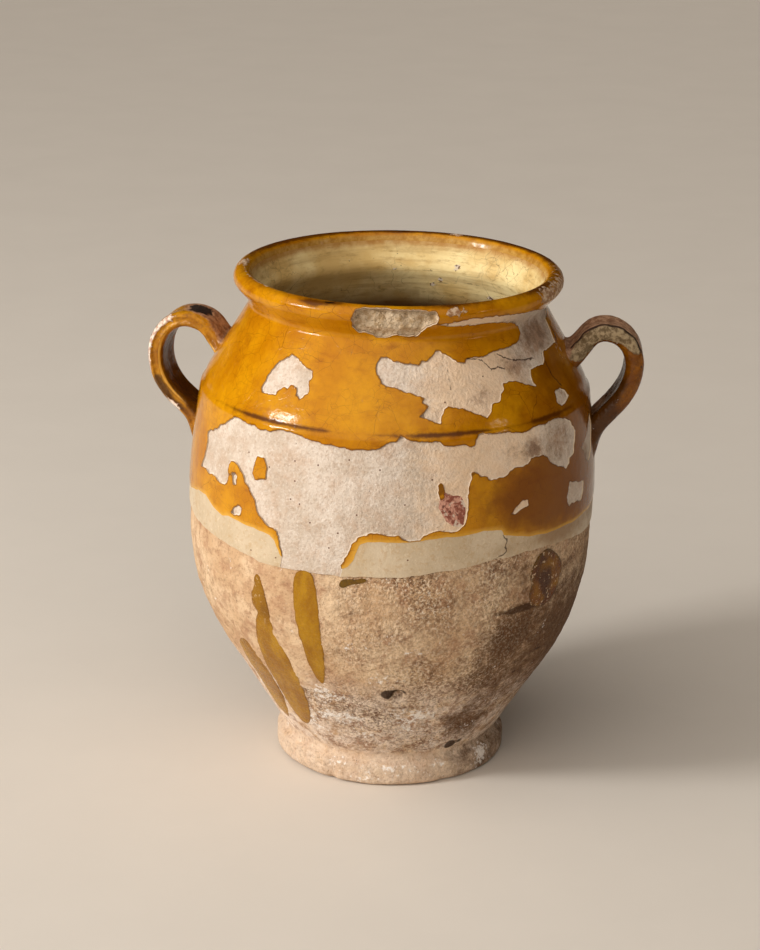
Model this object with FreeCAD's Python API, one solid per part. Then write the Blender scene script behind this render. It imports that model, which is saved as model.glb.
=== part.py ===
# Glazed earthenware confit pot with two ear handles, in millimetres, +Z up.
# The origin is the middle of the foot, on the surface that the pot stands on.
# The handles lie to either side along X and the flaked, dripped side faces -Y.
import FreeCAD, Part
import math
import os

# Thrown body: radii and heights of its outer corners, each rounded by a bend radius
FOOT_R = 69.4
FOOT_HEIGHT = 13.5
FOOT_EDGE_BEND = 4.0
FOOT_CREST_BEND = 3.0
FOOT_WEAR = 0.3
WAIST_R = 63.5
WAIST_RISE = 3.0
WAIST_BEND = 4.0
FLANK_R = 106.1
FLANK_Z = 83.9
FLANK_BEND = 165.0
HAUNCH_R = 117.7
HAUNCH_Z = 116.6
HAUNCH_BEND = 125.0
BELLY_R = 122.2
BELLY_Z = 168.7
BELLY_BEND = 320.0

# Turned ledge where the belly meets the shoulder
LEDGE_R = 114.2
LEDGE_Z = 231.0
LEDGE_STEP = 1.6
LEDGE_DROP = 1.4
LEDGE_BEND = 1.5
SHOULDER_SET_IN = 3.0
SHOULDER_RISE = 5.8
SHOULDER_BEND = 30.0

# Neck crease, rolled rim and mouth
NECK_R = 85.0
NECK_Z = 281.0
NECK_BEND = 4.0
RIM_R = 95.8
RIM_UNDERSIDE = 12.0
RIM_UNDERSIDE_BEND = 4.0
RIM_Z = 300.0
RIM_CROWN_BEND = 5.2
MOUTH_R = 88.0
LIP_BEND = 3.0
THROAT_BEND = 8.0
WALL = 7.0
FLOOR = 10.0
FLOOR_BEND = 26.0

# The pot stands a little out of true, towards the right-hand handle
LEAN_DEG = 0.88
LEAN_TOWARDS_DEG = 8.7

# Fired-on coats, from the clay outwards
SLIP_THICKNESS = 0.4
GLAZE_THICKNESS = 0.5
DIP_LINE_Z = 153.0
DIP_SLANT_DEG = 0.8
LINING_THICKNESS = 0.9
LIP_LAP = 5.0
DRIP_THICKNESS = 1.1

# Pulled strap handles: the angle at which each stands and the middle line of its loop,
# as (out, up) from the widest belly and the ledge
LEFT_HANDLE_AT_DEG = 173.6
LEFT_LOOP = [
    (-12.5, 16.5), (-5.4, 25.3), (3.6, 29.2), (13.6, 28.0), (22.6, 20.0), (26.2, 6.3), (22.6, -8.5),
    (13.1, -20.2), (3.1, -29.5), (-2.1, -41.0)]
RIGHT_HANDLE_AT_DEG = 6.4
RIGHT_LOOP = [
    (-14.5, 22.5), (-3.4, 34.3), (9.6, 33.5), (19.2, 21.0), (17.9, 5.0), (7.8, -11.0), (-1.7, -23.0),
    (-5.4, -35.0)]
STRAP_HALF_WIDTH = 13.5
LEFT_STRAP_HALF_THICKNESS = 5.0
RIGHT_STRAP_HALF_THICKNESS = 5.9
STRAP_HOLLOW = 0.85
UPPER_ROOT_HALF_WIDTH = 19.6
LOWER_ROOT_HALF_WIDTH = 15.5
ROOT_THICKENING = 1.9
ROOT_LENGTH = 30.0
ROOT_BURIED = 9.0
LOWER_ROOT_RUN = 12.0
STRAP_SECTIONS = 15

# Broken rim: a shallow scoop out of the front of the roll
CHIP_AT_DEG = -79.4
CHIP_HALF_LENGTH = 25.0
CHIP_HALF_HEIGHT = 24.0
CHIP_HALF_DEPTH = 7.5
CHIP_DEPTH = 5.8
CHIP_BELOW_RIM = 8.0

# Glaze flaked off the white slip, as (x, z) corners seen from the front
SHOULDER_FLAKE_LEFT = [
    (-47, 266), (-57, 260), (-63, 249), (-64, 246), (-54, 246), (-52, 249), (-46, 252), (-42, 252),
    (-42, 247), (-39, 246), (-35, 250), (-34, 261)]
SHOULDER_FLAKE_RIGHT = [
    (5, 271), (2, 267), (7, 258), (30, 251), (33, 247), (29, 242), (40, 239), (44, 247), (65, 239),
    (66, 245), (70, 246), (71, 254), (78, 254), (88, 249), (84, 258), (90, 259), (89, 263), (76, 270),
    (54, 270), (50, 267), (36, 274), (26, 267)]
NECK_FLAKE = [
    (72, 266), (88, 262), (97, 264), (90, 276), (80, 287), (52, 287), (52, 283), (66, 281), (73, 277),
    (76, 274)]
BELLY_FLAKE = [
    (-79, 229), (-99, 213), (-103, 191), (-92, 191), (-84, 189), (-80, 204), (-71, 199), (-60, 178),
    (-49, 172), (-45, 158), (-46, 137), (-10, 137), (-10, 158), (-4, 172), (2, 177), (22, 177),
    (27, 173), (38, 178), (53, 178), (58, 187), (57, 198), (60, 211), (63, 208), (72, 205), (81, 210),
    (85, 209), (89, 213), (95, 213), (104, 202), (108, 208), (108, 219), (104, 226), (98, 229),
    (83, 228), (64, 229), (57, 225), (20, 229), (6, 225), (-8, 224), (-43, 229), (-62, 227)]
SIDE_FLAKE = [(86, 191), (89, 189), (89, 187), (83, 183), (80, 184)]
TAIL_FLAKE = [(-74, 180), (-72, 179), (-73, 175), (-76, 174), (-79, 175)]
GLAZE_ISLAND = [(-63, 212), (-58, 212), (-57, 206), (-57, 200), (-64, 198), (-65, 201)]

# Runs of glaze on the bare clay, as (x, z) corners seen from the front
LONG_RUN = [
    (-62, 144), (-59, 142), (-53, 112), (-43, 84), (-39, 66), (-37, 51), (-37, 38), (-43, 33),
    (-48, 41), (-53, 53), (-63, 84), (-65, 96), (-63, 112), (-61, 118), (-65, 122), (-65, 131)]
SHORT_RUN = [(-37, 154), (-27, 154), (-24, 141), (-22, 91), (-25, 74), (-29, 78), (-32, 88), (-38, 124)]
SIDE_RUN = [
    (-80, 88), (-75, 94), (-71, 90), (-64, 78), (-58, 63), (-53, 44), (-53, 32), (-57, 33), (-71, 60),
    (-77, 74)]
DASH = [(-11, 145), (-10, 149), (4, 151), (4, 148), (-5, 146), (-9, 143)]
BLOB = [
    (99, 152), (102, 152), (105, 150), (108, 142), (106, 127), (103, 122), (98, 120), (93, 123),
    (91, 130), (93, 137), (92, 143)]

AXIS = FreeCAD.Vector(0, 0, 1)
CENTRE = FreeCAD.Vector(0, 0, 0)
SPAN = 4 * BELLY_R
BACK_DEG = 90.0
BEND_ROOM = 0.98
MIN_LINE = 1e-6


def point(r, z):
    return FreeCAD.Vector(r, 0, z)


def direction(path, i):
    """The way that side i of a path points."""
    dr = path[i + 1][0] - path[i][0]
    dz = path[i + 1][1] - path[i][1]
    length = math.hypot(dr, dz)
    return dr / length, dz / length


def turn(path, i):
    """How sharply a path bends to the left at corner i."""
    before = direction(path, i - 1)
    after = direction(path, i)
    return math.atan2(before[0] * after[1] - before[1] * after[0], before[0] * after[0] + before[1] * after[1])


def eased(path):
    """The same path of (radius, height, bend) corners, with bends that would run into one another
    made smaller."""
    reach = [0] * len(path)
    for i in range(1, len(path) - 1):
        reach[i] = path[i][2] * abs(math.tan(turn(path, i) / 2))
    room = [1]
    for i in range(len(path) - 1):
        side = math.dist(path[i][:2], path[i + 1][:2])
        room.append(min(1, BEND_ROOM * side / max(reach[i] + reach[i + 1], MIN_LINE)))
    room.append(1)
    return [(r, z, bend * min(room[i], room[i + 1])) for i, (r, z, bend) in enumerate(path)]


def shifted(path, outwards):
    """The same path of (radius, height, bend) corners moved to the right of its travel, with each bend
    kept on its own centre."""
    moved = []
    for i, (r, z, bend) in enumerate(path):
        if i in (0, len(path) - 1):
            dr, dz = direction(path, min(i, len(path) - 2))
            moved.append((r + outwards * dz, z - outwards * dr, bend))
            continue
        dr, dz = direction(path, i - 1)
        angle = turn(path, i)
        slide = outwards * math.tan(angle / 2)
        bend = bend + (outwards if angle > 0 else -outwards)
        moved.append((r + outwards * dz + slide * dr, z - outwards * dr + slide * dz, bend))
    return moved


def rounded(path):
    """Lines and tangent arcs through a path of (radius, height, bend) corners."""
    edges = []
    last = point(path[0][0], path[0][1])
    for i in range(1, len(path) - 1):
        r, z, bend = path[i]
        if bend == 0:
            edges.append(Part.makeLine(last, point(r, z)))
            last = point(r, z)
            continue
        before = direction(path, i - 1)
        after = direction(path, i)
        half = turn(path, i) / 2
        reach = bend * abs(math.tan(half))
        start = point(r - reach * before[0], z - reach * before[1])
        end = point(r + reach * after[0], z + reach * after[1])
        sag = bend * (1 / math.cos(half) - 1)
        bisector = FreeCAD.Vector(after[0] - before[0], 0, after[1] - before[1]).normalize()
        middle = point(r, z) + bisector * sag
        if (start - last).Length > MIN_LINE:
            edges.append(Part.makeLine(last, start))
        edges.append(Part.Arc(start, middle, end).toShape())
        last = end
    stop = point(path[-1][0], path[-1][1])
    if (stop - last).Length > MIN_LINE:
        edges.append(Part.makeLine(last, stop))
    return edges


def spun(edges):
    """A closed outline turned once round the pot's axis, starting at the back."""
    solid = Part.Face(Part.Wire(Part.__sortEdges__(edges))).revolve(CENTRE, AXIS, 360)
    solid.rotate(CENTRE, AXIS, BACK_DEG)
    return solid


# Outer corners of the clay, from the waist to the lip
waist = (WAIST_R, FOOT_HEIGHT + WAIST_RISE, WAIST_BEND)
belly_corners = [
    (FLANK_R, FLANK_Z, FLANK_BEND),
    (HAUNCH_R, HAUNCH_Z, HAUNCH_BEND),
    (BELLY_R, BELLY_Z, BELLY_BEND)]
ledge_corners = [
    (LEDGE_R, LEDGE_Z, LEDGE_BEND),
    (LEDGE_R - LEDGE_STEP, LEDGE_Z + LEDGE_DROP, LEDGE_BEND)]
shoulder = (LEDGE_R - SHOULDER_SET_IN, LEDGE_Z + SHOULDER_RISE, SHOULDER_BEND)
neck = (NECK_R, NECK_Z, NECK_BEND)
rim_corners = [
    (RIM_R, NECK_Z + RIM_UNDERSIDE, RIM_UNDERSIDE_BEND),
    (RIM_R, RIM_Z, RIM_CROWN_BEND)]
lip = (MOUTH_R, RIM_Z, LIP_BEND)

# The inside keeps one wall thickness from the outside, down to a flat floor
inner_wall = shifted([waist] + belly_corners + [shoulder, neck, rim_corners[0]], -WALL)[1:6]
throat = inner_wall.pop()[:2] + (THROAT_BEND,)
flank_lean = (FLANK_R - WAIST_R) / (FLANK_Z - waist[1])
floor_r = inner_wall[0][0] - flank_lean * (inner_wall[0][1] - FLOOR)

# Where the outer coats end and the lining begins, just inside the lip
inwards = direction([lip, throat], 0)
lap = (MOUTH_R + LIP_LAP * inwards[0], RIM_Z + LIP_LAP * inwards[1], 0)

crest = (FOOT_R, FOOT_HEIGHT, FOOT_CREST_BEND)
outer_path = eased(
    [crest, waist] + belly_corners + ledge_corners + [shoulder, neck] + rim_corners + [lip, lap])
lining_path = eased([lap, throat] + inner_wall[::-1] + [(floor_r, FLOOR, FLOOR_BEND), (0, FLOOR, 0)])
thrown_base = -FOOT_R * math.sin(math.radians(LEAN_DEG)) - FOOT_WEAR
foot_path = [(0, thrown_base, 0), (FOOT_R, thrown_base, FOOT_EDGE_BEND)]
clay_path = foot_path + outer_path[:-1] + lining_path[1:]
outer_edges = rounded(outer_path)


def wall_radius(height):
    """Outer radius of the clay at a height between the waist and the neck."""
    across = Part.makeLine(point(0, height), point(2 * BELLY_R, height))
    gaps = [edge.distToShape(across) for edge in outer_edges[:12]]
    return min(gaps, key=lambda gap: gap[0])[1][0][0].x


def band(path, near, far):
    """A coat lying on a path, between two distances from the clay."""
    inner = rounded(shifted(path, near))
    outer = rounded(shifted(path, far))
    start = Part.makeLine(inner[0].firstVertex().Point, outer[0].firstVertex().Point)
    end = Part.makeLine(inner[-1].lastVertex().Point, outer[-1].lastVertex().Point)
    return spun(inner + outer + [start, end])


def prism(outline):
    """What lies behind an outline on the front half of the pot, seen along Y."""
    corners = [FreeCAD.Vector(x, 0, z) for x, z in outline]
    face = Part.Face(Part.makePolygon(corners + corners[:1]))
    return face.extrude(FreeCAD.Vector(0, -SPAN, 0))


def above_dip_line():
    """Everything above the slanting line to which the pot was dipped."""
    block = Part.makeBox(2 * SPAN, 2 * SPAN, SPAN, FreeCAD.Vector(-SPAN, -SPAN, 0))
    block.rotate(CENTRE, FreeCAD.Vector(0, 1, 0), DIP_SLANT_DEG)
    return block.translated(FreeCAD.Vector(0, 0, DIP_LINE_Z))


def nearness(distance):
    """How much a strap takes the form of its root, from 0 to 1, at a distance from that end."""
    return max(0, 1 - distance / ROOT_LENGTH) ** 2


def strap(loop, at_deg, half_thickness):
    """A pulled strap, wider at its roots, with a shallow hollow between its two raised edges."""
    belly = wall_radius(BELLY_Z)
    middle = [point(belly + out, LEDGE_Z + up) for out, up in loop]
    top = middle[0].z - ROOT_BURIED
    bottom = middle[-1].z - LOWER_ROOT_RUN
    middle.insert(0, point(wall_radius(top) - ROOT_BURIED, top))
    middle.append(point(wall_radius(bottom) - ROOT_BURIED, bottom))
    line = Part.BSplineCurve()
    line.interpolate(middle)
    length = line.length()
    sections = []
    for i in range(STRAP_SECTIONS):
        distance = length * i / (STRAP_SECTIONS - 1)
        upper = nearness(distance)
        lower = nearness(length - distance)
        at = line.parameterAtDistance(distance, line.FirstParameter)
        along = line.tangent(at)[0]
        across = FreeCAD.Vector(0, 1, 0)
        away = along.cross(across)
        half_width = (
            STRAP_HALF_WIDTH + (UPPER_ROOT_HALF_WIDTH - STRAP_HALF_WIDTH) * upper
            + (LOWER_ROOT_HALF_WIDTH - STRAP_HALF_WIDTH) * lower)
        thick = half_thickness + ROOT_THICKENING * upper
        hollow = STRAP_HOLLOW / thick * (1 - math.sqrt(max(upper, lower)))
        section = [
            (1.0, 0.0), (0.88, 0.75), (0.6, 1.0), (0.0, 1 - hollow), (-0.6, 1.0), (-0.88, 0.75),
            (-1.0, 0.0), (-0.88, -0.75), (-0.6, -0.95), (0.0, hollow - 1), (0.6, -0.95), (0.88, -0.75)]
        ring = Part.BSplineCurve()
        ring.interpolate(
            [line.value(at) + across * (half_width * w) + away * (thick * t) for w, t in section],
            PeriodicFlag=True)
        sections.append(Part.Wire(ring.toShape()))
    shape = Part.makeLoft(sections, True, False)
    shape.rotate(CENTRE, AXIS, at_deg)
    return shape


def chip():
    """The scoop that a knock took out of the rolled rim."""
    ball = Part.makeSphere(1)
    stretch = FreeCAD.Matrix()
    stretch.scale(CHIP_HALF_DEPTH, CHIP_HALF_LENGTH, CHIP_HALF_HEIGHT)
    scoop = ball.transformGeometry(stretch)
    scoop.translate(point(RIM_R - CHIP_DEPTH + CHIP_HALF_DEPTH, RIM_Z - CHIP_BELOW_RIM))
    scoop.rotate(CENTRE, AXIS, CHIP_AT_DEG)
    return scoop


def body(shape):
    """The largest solid of a shape, without loose slivers."""
    return max(shape.Solids, key=lambda solid: solid.Volume)


# Clay pieces
clay = spun(rounded(clay_path) + [Part.makeLine(point(0, FLOOR), point(0, thrown_base))])
core_bottom = point(0, waist[1])
core_top = point(0, lap[1])
core = spun(outer_edges[2:] + [
    Part.makeLine(outer_edges[-1].lastVertex().Point, core_top),
    Part.makeLine(core_top, core_bottom),
    Part.makeLine(core_bottom, outer_edges[2].firstVertex().Point)])
handle_left = body(strap(LEFT_LOOP, LEFT_HANDLE_AT_DEG, LEFT_STRAP_HALF_THICKNESS).cut(core))
handle_right = body(strap(RIGHT_LOOP, RIGHT_HANDLE_AT_DEG, RIGHT_STRAP_HALF_THICKNESS).cut(core))
broken = chip()
vessel = clay.cut(broken)

# Fired-on coats
dipped = above_dip_line()
slip_far = SLIP_THICKNESS
glaze_far = SLIP_THICKNESS + GLAZE_THICKNESS
slip = band(outer_path, 0, slip_far).common(dipped)
glaze = band(outer_path, slip_far, glaze_far).common(dipped)
lining = band(lining_path, 0, LINING_THICKNESS)
flakes = [
    prism(outline) for outline in (
        SHOULDER_FLAKE_LEFT, SHOULDER_FLAKE_RIGHT, NECK_FLAKE, BELLY_FLAKE, SIDE_FLAKE, TAIL_FLAKE)]
handles = [handle_left, handle_right]
slip_coat = body(slip.cut([broken] + handles))
outer_glaze = body(glaze.cut([broken] + handles + flakes))
glaze_island = body(glaze.common(prism(GLAZE_ISLAND)))

# Runs of glaze down the bare clay, which stop where the slip begins
bare = band(outer_path, 0, DRIP_THICKNESS).cut(dipped)
runs = {name: body(bare.common(prism(outline))) for name, outline in {
    "run_long": LONG_RUN, "run_short": SHORT_RUN, "run_side": SIDE_RUN, "dash": DASH,
    "blob": BLOB}.items()}

# The whole pot leans, and is worn flat where it stands
lean_axis = FreeCAD.Vector(
    -math.sin(math.radians(LEAN_TOWARDS_DEG)), math.cos(math.radians(LEAN_TOWARDS_DEG)), 0)
pieces = {
    "vessel": vessel, "handle_left": handle_left, "handle_right": handle_right,
    "slip_coat": slip_coat, "outer_glaze": outer_glaze, "glaze_island": glaze_island,
    "inner_glaze": lining, **runs}
for shape in pieces.values():
    shape.rotate(CENTRE, lean_axis, LEAN_DEG)
ground = Part.makeBox(SPAN, SPAN, SPAN, FreeCAD.Vector(-SPAN / 2, -SPAN / 2, -SPAN))
pieces["vessel"] = pieces["vessel"].cut(ground)

os.makedirs("parts", exist_ok=True)
for name, shape in pieces.items():
    solid = body(shape)
    solid.exportStep(f"parts/{name}.step")
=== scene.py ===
import math

import bpy
import numpy as np
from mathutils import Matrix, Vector
from mathutils.geometry import delaunay_2d_cdt


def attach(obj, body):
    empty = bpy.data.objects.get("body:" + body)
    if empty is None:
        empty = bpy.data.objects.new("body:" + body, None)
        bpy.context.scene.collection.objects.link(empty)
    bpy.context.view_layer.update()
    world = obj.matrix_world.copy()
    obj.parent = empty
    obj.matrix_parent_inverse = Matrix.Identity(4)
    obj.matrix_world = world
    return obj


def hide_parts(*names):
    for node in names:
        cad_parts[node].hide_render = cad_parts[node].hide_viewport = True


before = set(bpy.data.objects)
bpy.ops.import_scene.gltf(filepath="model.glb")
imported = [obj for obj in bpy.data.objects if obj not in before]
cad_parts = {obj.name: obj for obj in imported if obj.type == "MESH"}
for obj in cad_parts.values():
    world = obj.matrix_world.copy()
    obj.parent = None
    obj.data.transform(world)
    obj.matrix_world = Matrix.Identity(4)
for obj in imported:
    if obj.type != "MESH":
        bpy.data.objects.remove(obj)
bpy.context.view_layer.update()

# The pot, in millimetres. Angles are degrees round its axis: 0 is +X and -90 faces -Y.
# Corners of the outer wall from the waist to the lap inside the lip, as (radius, height, bend)
WALL = [
    (63.5, 16.5, 0), (106.1, 83.9, 163), (117.7, 116.6, 123.5), (122.2, 168.7, 320), (114.2, 231, 1.5),
    (112.6, 232.4, 4), (111.2, 236.8, 30), (85, 281, 4), (95.8, 293, 4), (95.8, 300, 5.2), (88, 300, 3),
    (86.2, 295.3, 0)]
FOOT = [(0, 0, 0), (69.4, 0, 4), (69.4, 13.5, 3), (63.5, 16.5, 4), (68, 23.6, 0)]
INSIDE = [
    (86.2, 295.3, 0), (79.7, 279.3, 8), (104.3, 235, 23), (115.2, 168.5, 275), (110.9, 118.2, 118),
    (99.8, 86.9, 156), (50.5, 10, 26), (0, 10, 0)]
LEAN_DEG = 0.88
LEAN_TOWARDS_DEG = 8.7
# How far the faces of the coats stand over the clay
SLIP_UP = 0.4
GLAZE_UP = 0.9
LINING_UP = 0.9
# How far the pot stands out of true towards its lean, as (height, shift)
SWAY = [
    (0, 0.8), (45, 0.8), (66, 1.2), (88, 0.3), (112, -1.0), (150, -1.1), (185, -0.3), (230, 0.3),
    (280, 1.0), (300, 1.2)]
# Outlines are drawn on the unrolled wall, which is cut open at the back
BACK_DEG = 90.0
MM_PER_DEG = 1.95
METRE = 0.001

# Breaks in the coats, as (angle, distance up the wall from the waist)
FLAKES = [
    [(-120.3, 270), (-122.3, 267.2), (-124.5, 265.2), (-125.5, 262.4), (-126.2, 258.5), (-126.8, 255.8),
     (-127.6, 249.3), (-126.9, 245.9), (-126.2, 245), (-123.3, 245.6), (-120.9, 245.7), (-120.7, 248.5),
     (-119.9, 250.3), (-118.7, 251.6), (-117.3, 250.9), (-116.6, 253.2), (-114.3, 253.1), (-113.5, 250.4),
     (-113.6, 248), (-111.9, 246.5), (-110.9, 248.8), (-109.7, 250.4), (-110, 253.8), (-110.5, 257.2),
     (-109.8, 259.2), (-110.3, 263.1), (-111.8, 263.9), (-114.1, 265.6), (-115.8, 267.5), (-117.4, 268.8)],
    [(-87, 275.5), (-88.3, 272.8), (-88.7, 270.4), (-88.3, 267), (-87.5, 263.7), (-86.1, 260.3),
     (-84.7, 258.4), (-82.2, 258.3), (-80, 256.6), (-76.8, 254.9), (-74.4, 253.1), (-73, 251.9),
     (-73.4, 249.7), (-71.8, 247.3), (-73.1, 244.5), (-74.4, 241.8), (-71.8, 239.9), (-68.5, 237.7),
     (-67.9, 241.9), (-67, 245.2), (-65.6, 247.3), (-63.1, 245.8), (-60.7, 244.3), (-58.1, 242.1),
     (-55.7, 239.9), (-54, 238), (-52.8, 239.2), (-52.1, 241.9), (-51.4, 245.2), (-50.3, 246.1),
     (-48.5, 246.5), (-47.5, 248.8), (-47.5, 250.6), (-45.8, 252.5), (-45.1, 255.8), (-42.9, 256.6),
     (-39.7, 255.3), (-37.4, 253.9), (-35.3, 251.6), (-32, 249.5), (-32.5, 252.7), (-32.9, 255.9),
     (-31.6, 259.7), (-27.8, 260.7), (-24.4, 259.9), (-22.9, 261.7), (-21, 266.6), (-8.4, 267.3),
     (-7, 274.6), (-6.1, 281.5), (3.2, 284.7), (-8, 290.5), (-25.4, 297.6), (-43.9, 301.8), (-56.2, 302.6),
     (-67.5, 299.8), (-62.7, 297.4), (-55.1, 297), (-46.8, 296.6), (-34.8, 291), (-29.2, 285.8),
     (-29.4, 281.6), (-31.5, 278), (-35, 276.1), (-42.7, 275.4), (-46, 275), (-49.9, 272.9), (-53.7, 274),
     (-55, 273.4), (-57.1, 272.6), (-57.7, 270.9), (-60.2, 271.6), (-61.2, 273.2), (-64.6, 276.5),
     (-66.2, 279), (-67.7, 278.5), (-69.4, 275.8), (-71.3, 273), (-73, 273.1), (-73.8, 270.5),
     (-76.5, 271.8), (-80, 272.6), (-82.4, 273.1), (-83.4, 274.2), (-85.2, 275.6)],
    [(-133.7, 227.3), (-135.9, 223.8), (-138.3, 220.2), (-141, 217.6), (-142.6, 214.9), (-145.8, 212.5),
     (-147.8, 210.3), (-147.2, 206.8), (-147.2, 202), (-148, 196.1), (-149.1, 192.3), (-149.9, 188.2),
     (-146.3, 189.3), (-144, 187.7), (-140.3, 188.8), (-138.4, 186.9), (-136.7, 186.1), (-134.7, 186.4),
     (-133.8, 188.4), (-133.1, 192.4), (-133.8, 195.5), (-133.6, 199.2), (-132.9, 201.4), (-131, 201.2),
     (-129, 199.3), (-127.2, 196.7), (-126.1, 192.5), (-124.4, 189.9), (-123.1, 186.4), (-121.9, 184.1),
     (-121.4, 181.4), (-121, 178.6), (-119.8, 175.6), (-118.7, 173.8), (-117.3, 171.5), (-115.3, 171.2),
     (-113.9, 170), (-113.2, 166.8), (-112.9, 162.8), (-112.2, 158.8), (-111.9, 155.4), (-112.6, 147.8),
     (-112.5, 138), (-94.7, 138), (-94.7, 152.5), (-95, 155.5), (-94.1, 158.6), (-92.8, 164.8),
     (-91.8, 169.1), (-90.5, 172.2), (-88.9, 174.2), (-87, 175), (-84.9, 175.2), (-82.7, 174.2),
     (-80.9, 173.7), (-79.6, 174.3), (-78.5, 172.6), (-76.9, 171.1), (-75.3, 171.3), (-74.2, 171.8),
     (-72.9, 174.1), (-71.6, 175.7), (-68.8, 176.6), (-66.1, 175.6), (-63.9, 175.8), (-62.7, 177.3),
     (-61.6, 180.6), (-61, 184.5), (-60.9, 188.5), (-61, 193.1), (-61.2, 196), (-60.6, 199.9),
     (-60, 204.3), (-59.9, 208.3), (-59, 209.2), (-57.9, 207.2), (-57.3, 205.4), (-55.8, 205.6),
     (-54.3, 203.5), (-52.1, 202.9), (-49.5, 203.8), (-47.7, 206.6), (-46.3, 207.9), (-43.5, 206.9),
     (-41.6, 208.4), (-40, 210.7), (-38.1, 211), (-35.6, 210.6), (-33.6, 207.9), (-31.6, 204),
     (-28.9, 200.9), (-25.5, 198), (-23.7, 200), (-22.9, 202.5), (-21, 203.2), (-20.1, 205.7),
     (-19.7, 210.3), (-18.7, 213.9), (-18.4, 216.7), (-20.7, 220.9), (-21.7, 224.4), (-25, 227.2),
     (-28.6, 228.9), (-31, 228.9), (-33.5, 228.2), (-36.5, 228.3), (-38.9, 228.1), (-40.9, 227.2),
     (-43.6, 226.4), (-47.1, 228.2), (-50.5, 228.6), (-53.7, 228.9), (-55.7, 230.1), (-57.8, 229.3),
     (-58.5, 226.7), (-58.8, 223.9), (-60, 223), (-61.8, 225), (-63.6, 224.2), (-65.3, 223.9),
     (-67.3, 224.7), (-68.8, 226.6), (-69.9, 227.3), (-73, 227.5), (-75.8, 228.2), (-78, 228.8),
     (-79.9, 230.4), (-81, 228.2), (-84.1, 226.3), (-85.4, 224), (-86.8, 223.1), (-89.5, 222.5),
     (-93.7, 221.9), (-96.6, 223), (-99.5, 224.1), (-102.5, 224), (-105, 225), (-108.7, 226.2),
     (-112.1, 227.9), (-115.4, 227.3), (-118.9, 225.4), (-122.6, 225), (-125.1, 226.2), (-127.6, 225.6),
     (-130.3, 226.7), (-132.2, 227.5)],
    [(-43.7, 188.4), (-41.9, 187.1), (-41.9, 184.2), (-44.1, 182.7), (-46.2, 180.6), (-47.8, 181.2),
     (-46.8, 183.8), (-45.1, 186)],
    [(-128.4, 177.8), (-126.7, 176.9), (-127.4, 172.4), (-129.5, 171.2), (-130.8, 172.2), (-129.6, 175.9)],
    [(-21.5, 244.1), (-19.3, 241.7), (-18, 237.3), (-23.9, 234.1), (-25.7, 237.4), (-24.5, 243.1)],
    [(-131.9, 194.8), (-130.6, 196.1), (-129.6, 194.3), (-129.7, 189.5), (-131, 188.8)],
    [(-23.7, 188.7), (-20.8, 187.6), (-14.5, 183.8), (-14.7, 178.4), (-16.3, 173.4), (-22.3, 175.3),
     (-24.1, 173.9), (-25.1, 179.9), (-24.5, 184.3)],
    [(-3.4, 218.3), (-1.7, 209.9), (-5.4, 197), (-8.9, 192.4), (-12.6, 196.6), (-12.9, 201.6),
     (-15.1, 204.7), (-11.2, 206.6), (-8.2, 210.9)]]
ISLANDS = [
    [(-122.4, 209.4), (-119.8, 209.4), (-118.8, 204.1), (-118.8, 197.7), (-122.7, 195.4), (-123.7, 199),
     (-123.3, 205)],
    [(-68.8, 204), (-68.3, 203.4), (-67.5, 198.8), (-67.8, 195.4), (-68.6, 194.9), (-69.4, 199),
     (-69.4, 202.4)]]
BROKEN_RIM = [
    (-97.0, 303.1), (-96.1, 307.2), (-93.3, 309.3), (-87.1, 309.7), (-80.3, 309.3), (-73.6, 308.6),
    (-68.9, 307.7), (-68.0, 304.2), (-68.8, 301.0), (-71.7, 298.2), (-72.7, 294.2), (-74.9, 289.2),
    (-78.6, 288.3), (-81.9, 290.2), (-85.2, 287.4), (-89.3, 287.7), (-92.4, 291.0), (-95.7, 291.3),
    (-97.4, 295.9)]
SPALL = [
    (-67.7, 198.8), (-65.5, 196.8), (-62.7, 195.2), (-61.9, 191.5), (-61.6, 186.2), (-62.0, 183.5),
    (-62.0, 179.4), (-63.4, 178.0), (-65.1, 178.7), (-66.9, 181.6), (-68.0, 185.7), (-69.1, 189.9),
    (-68.9, 194.4)]
# Cracks, with how dark each is
CRACKS = [
    (0.45, [(-94.5, 188.9), (-92.5, 188.1), (-89.6, 189.1), (-86.6, 187.7), (-83.4, 188.6), (-81, 187.5)]),
    (0.8, [(-63.3, 274.3), (-64.1, 269), (-64, 263.2), (-63.9, 256.3)]),
    (1.0, [(-50.1, 169.7), (-48.8, 165.8), (-49.3, 162), (-48.6, 159), (-50.6, 157.4), (-52.8, 155.9)]),
    (1.0, [(-5.2, 277.1), (-4.6, 270.1), (-8, 266.8)]),
    (1.0, [
        (-56.6, 273), (-53.8, 272.8), (-50.9, 271.6), (-49.5, 268.2), (-48, 265.5), (-45, 265.9),
        (-42.8, 264.1)]),
    (1.0, [(-43.9, 273.5), (-41.3, 270.2), (-38.5, 268.2), (-32.5, 266.2), (-27.1, 265.3)]),
    (0.9, [(-21.9, 266.3), (-22.6, 263.5), (-22.2, 258.9), (-22, 252.6), (-19.6, 244.4)])]
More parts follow.
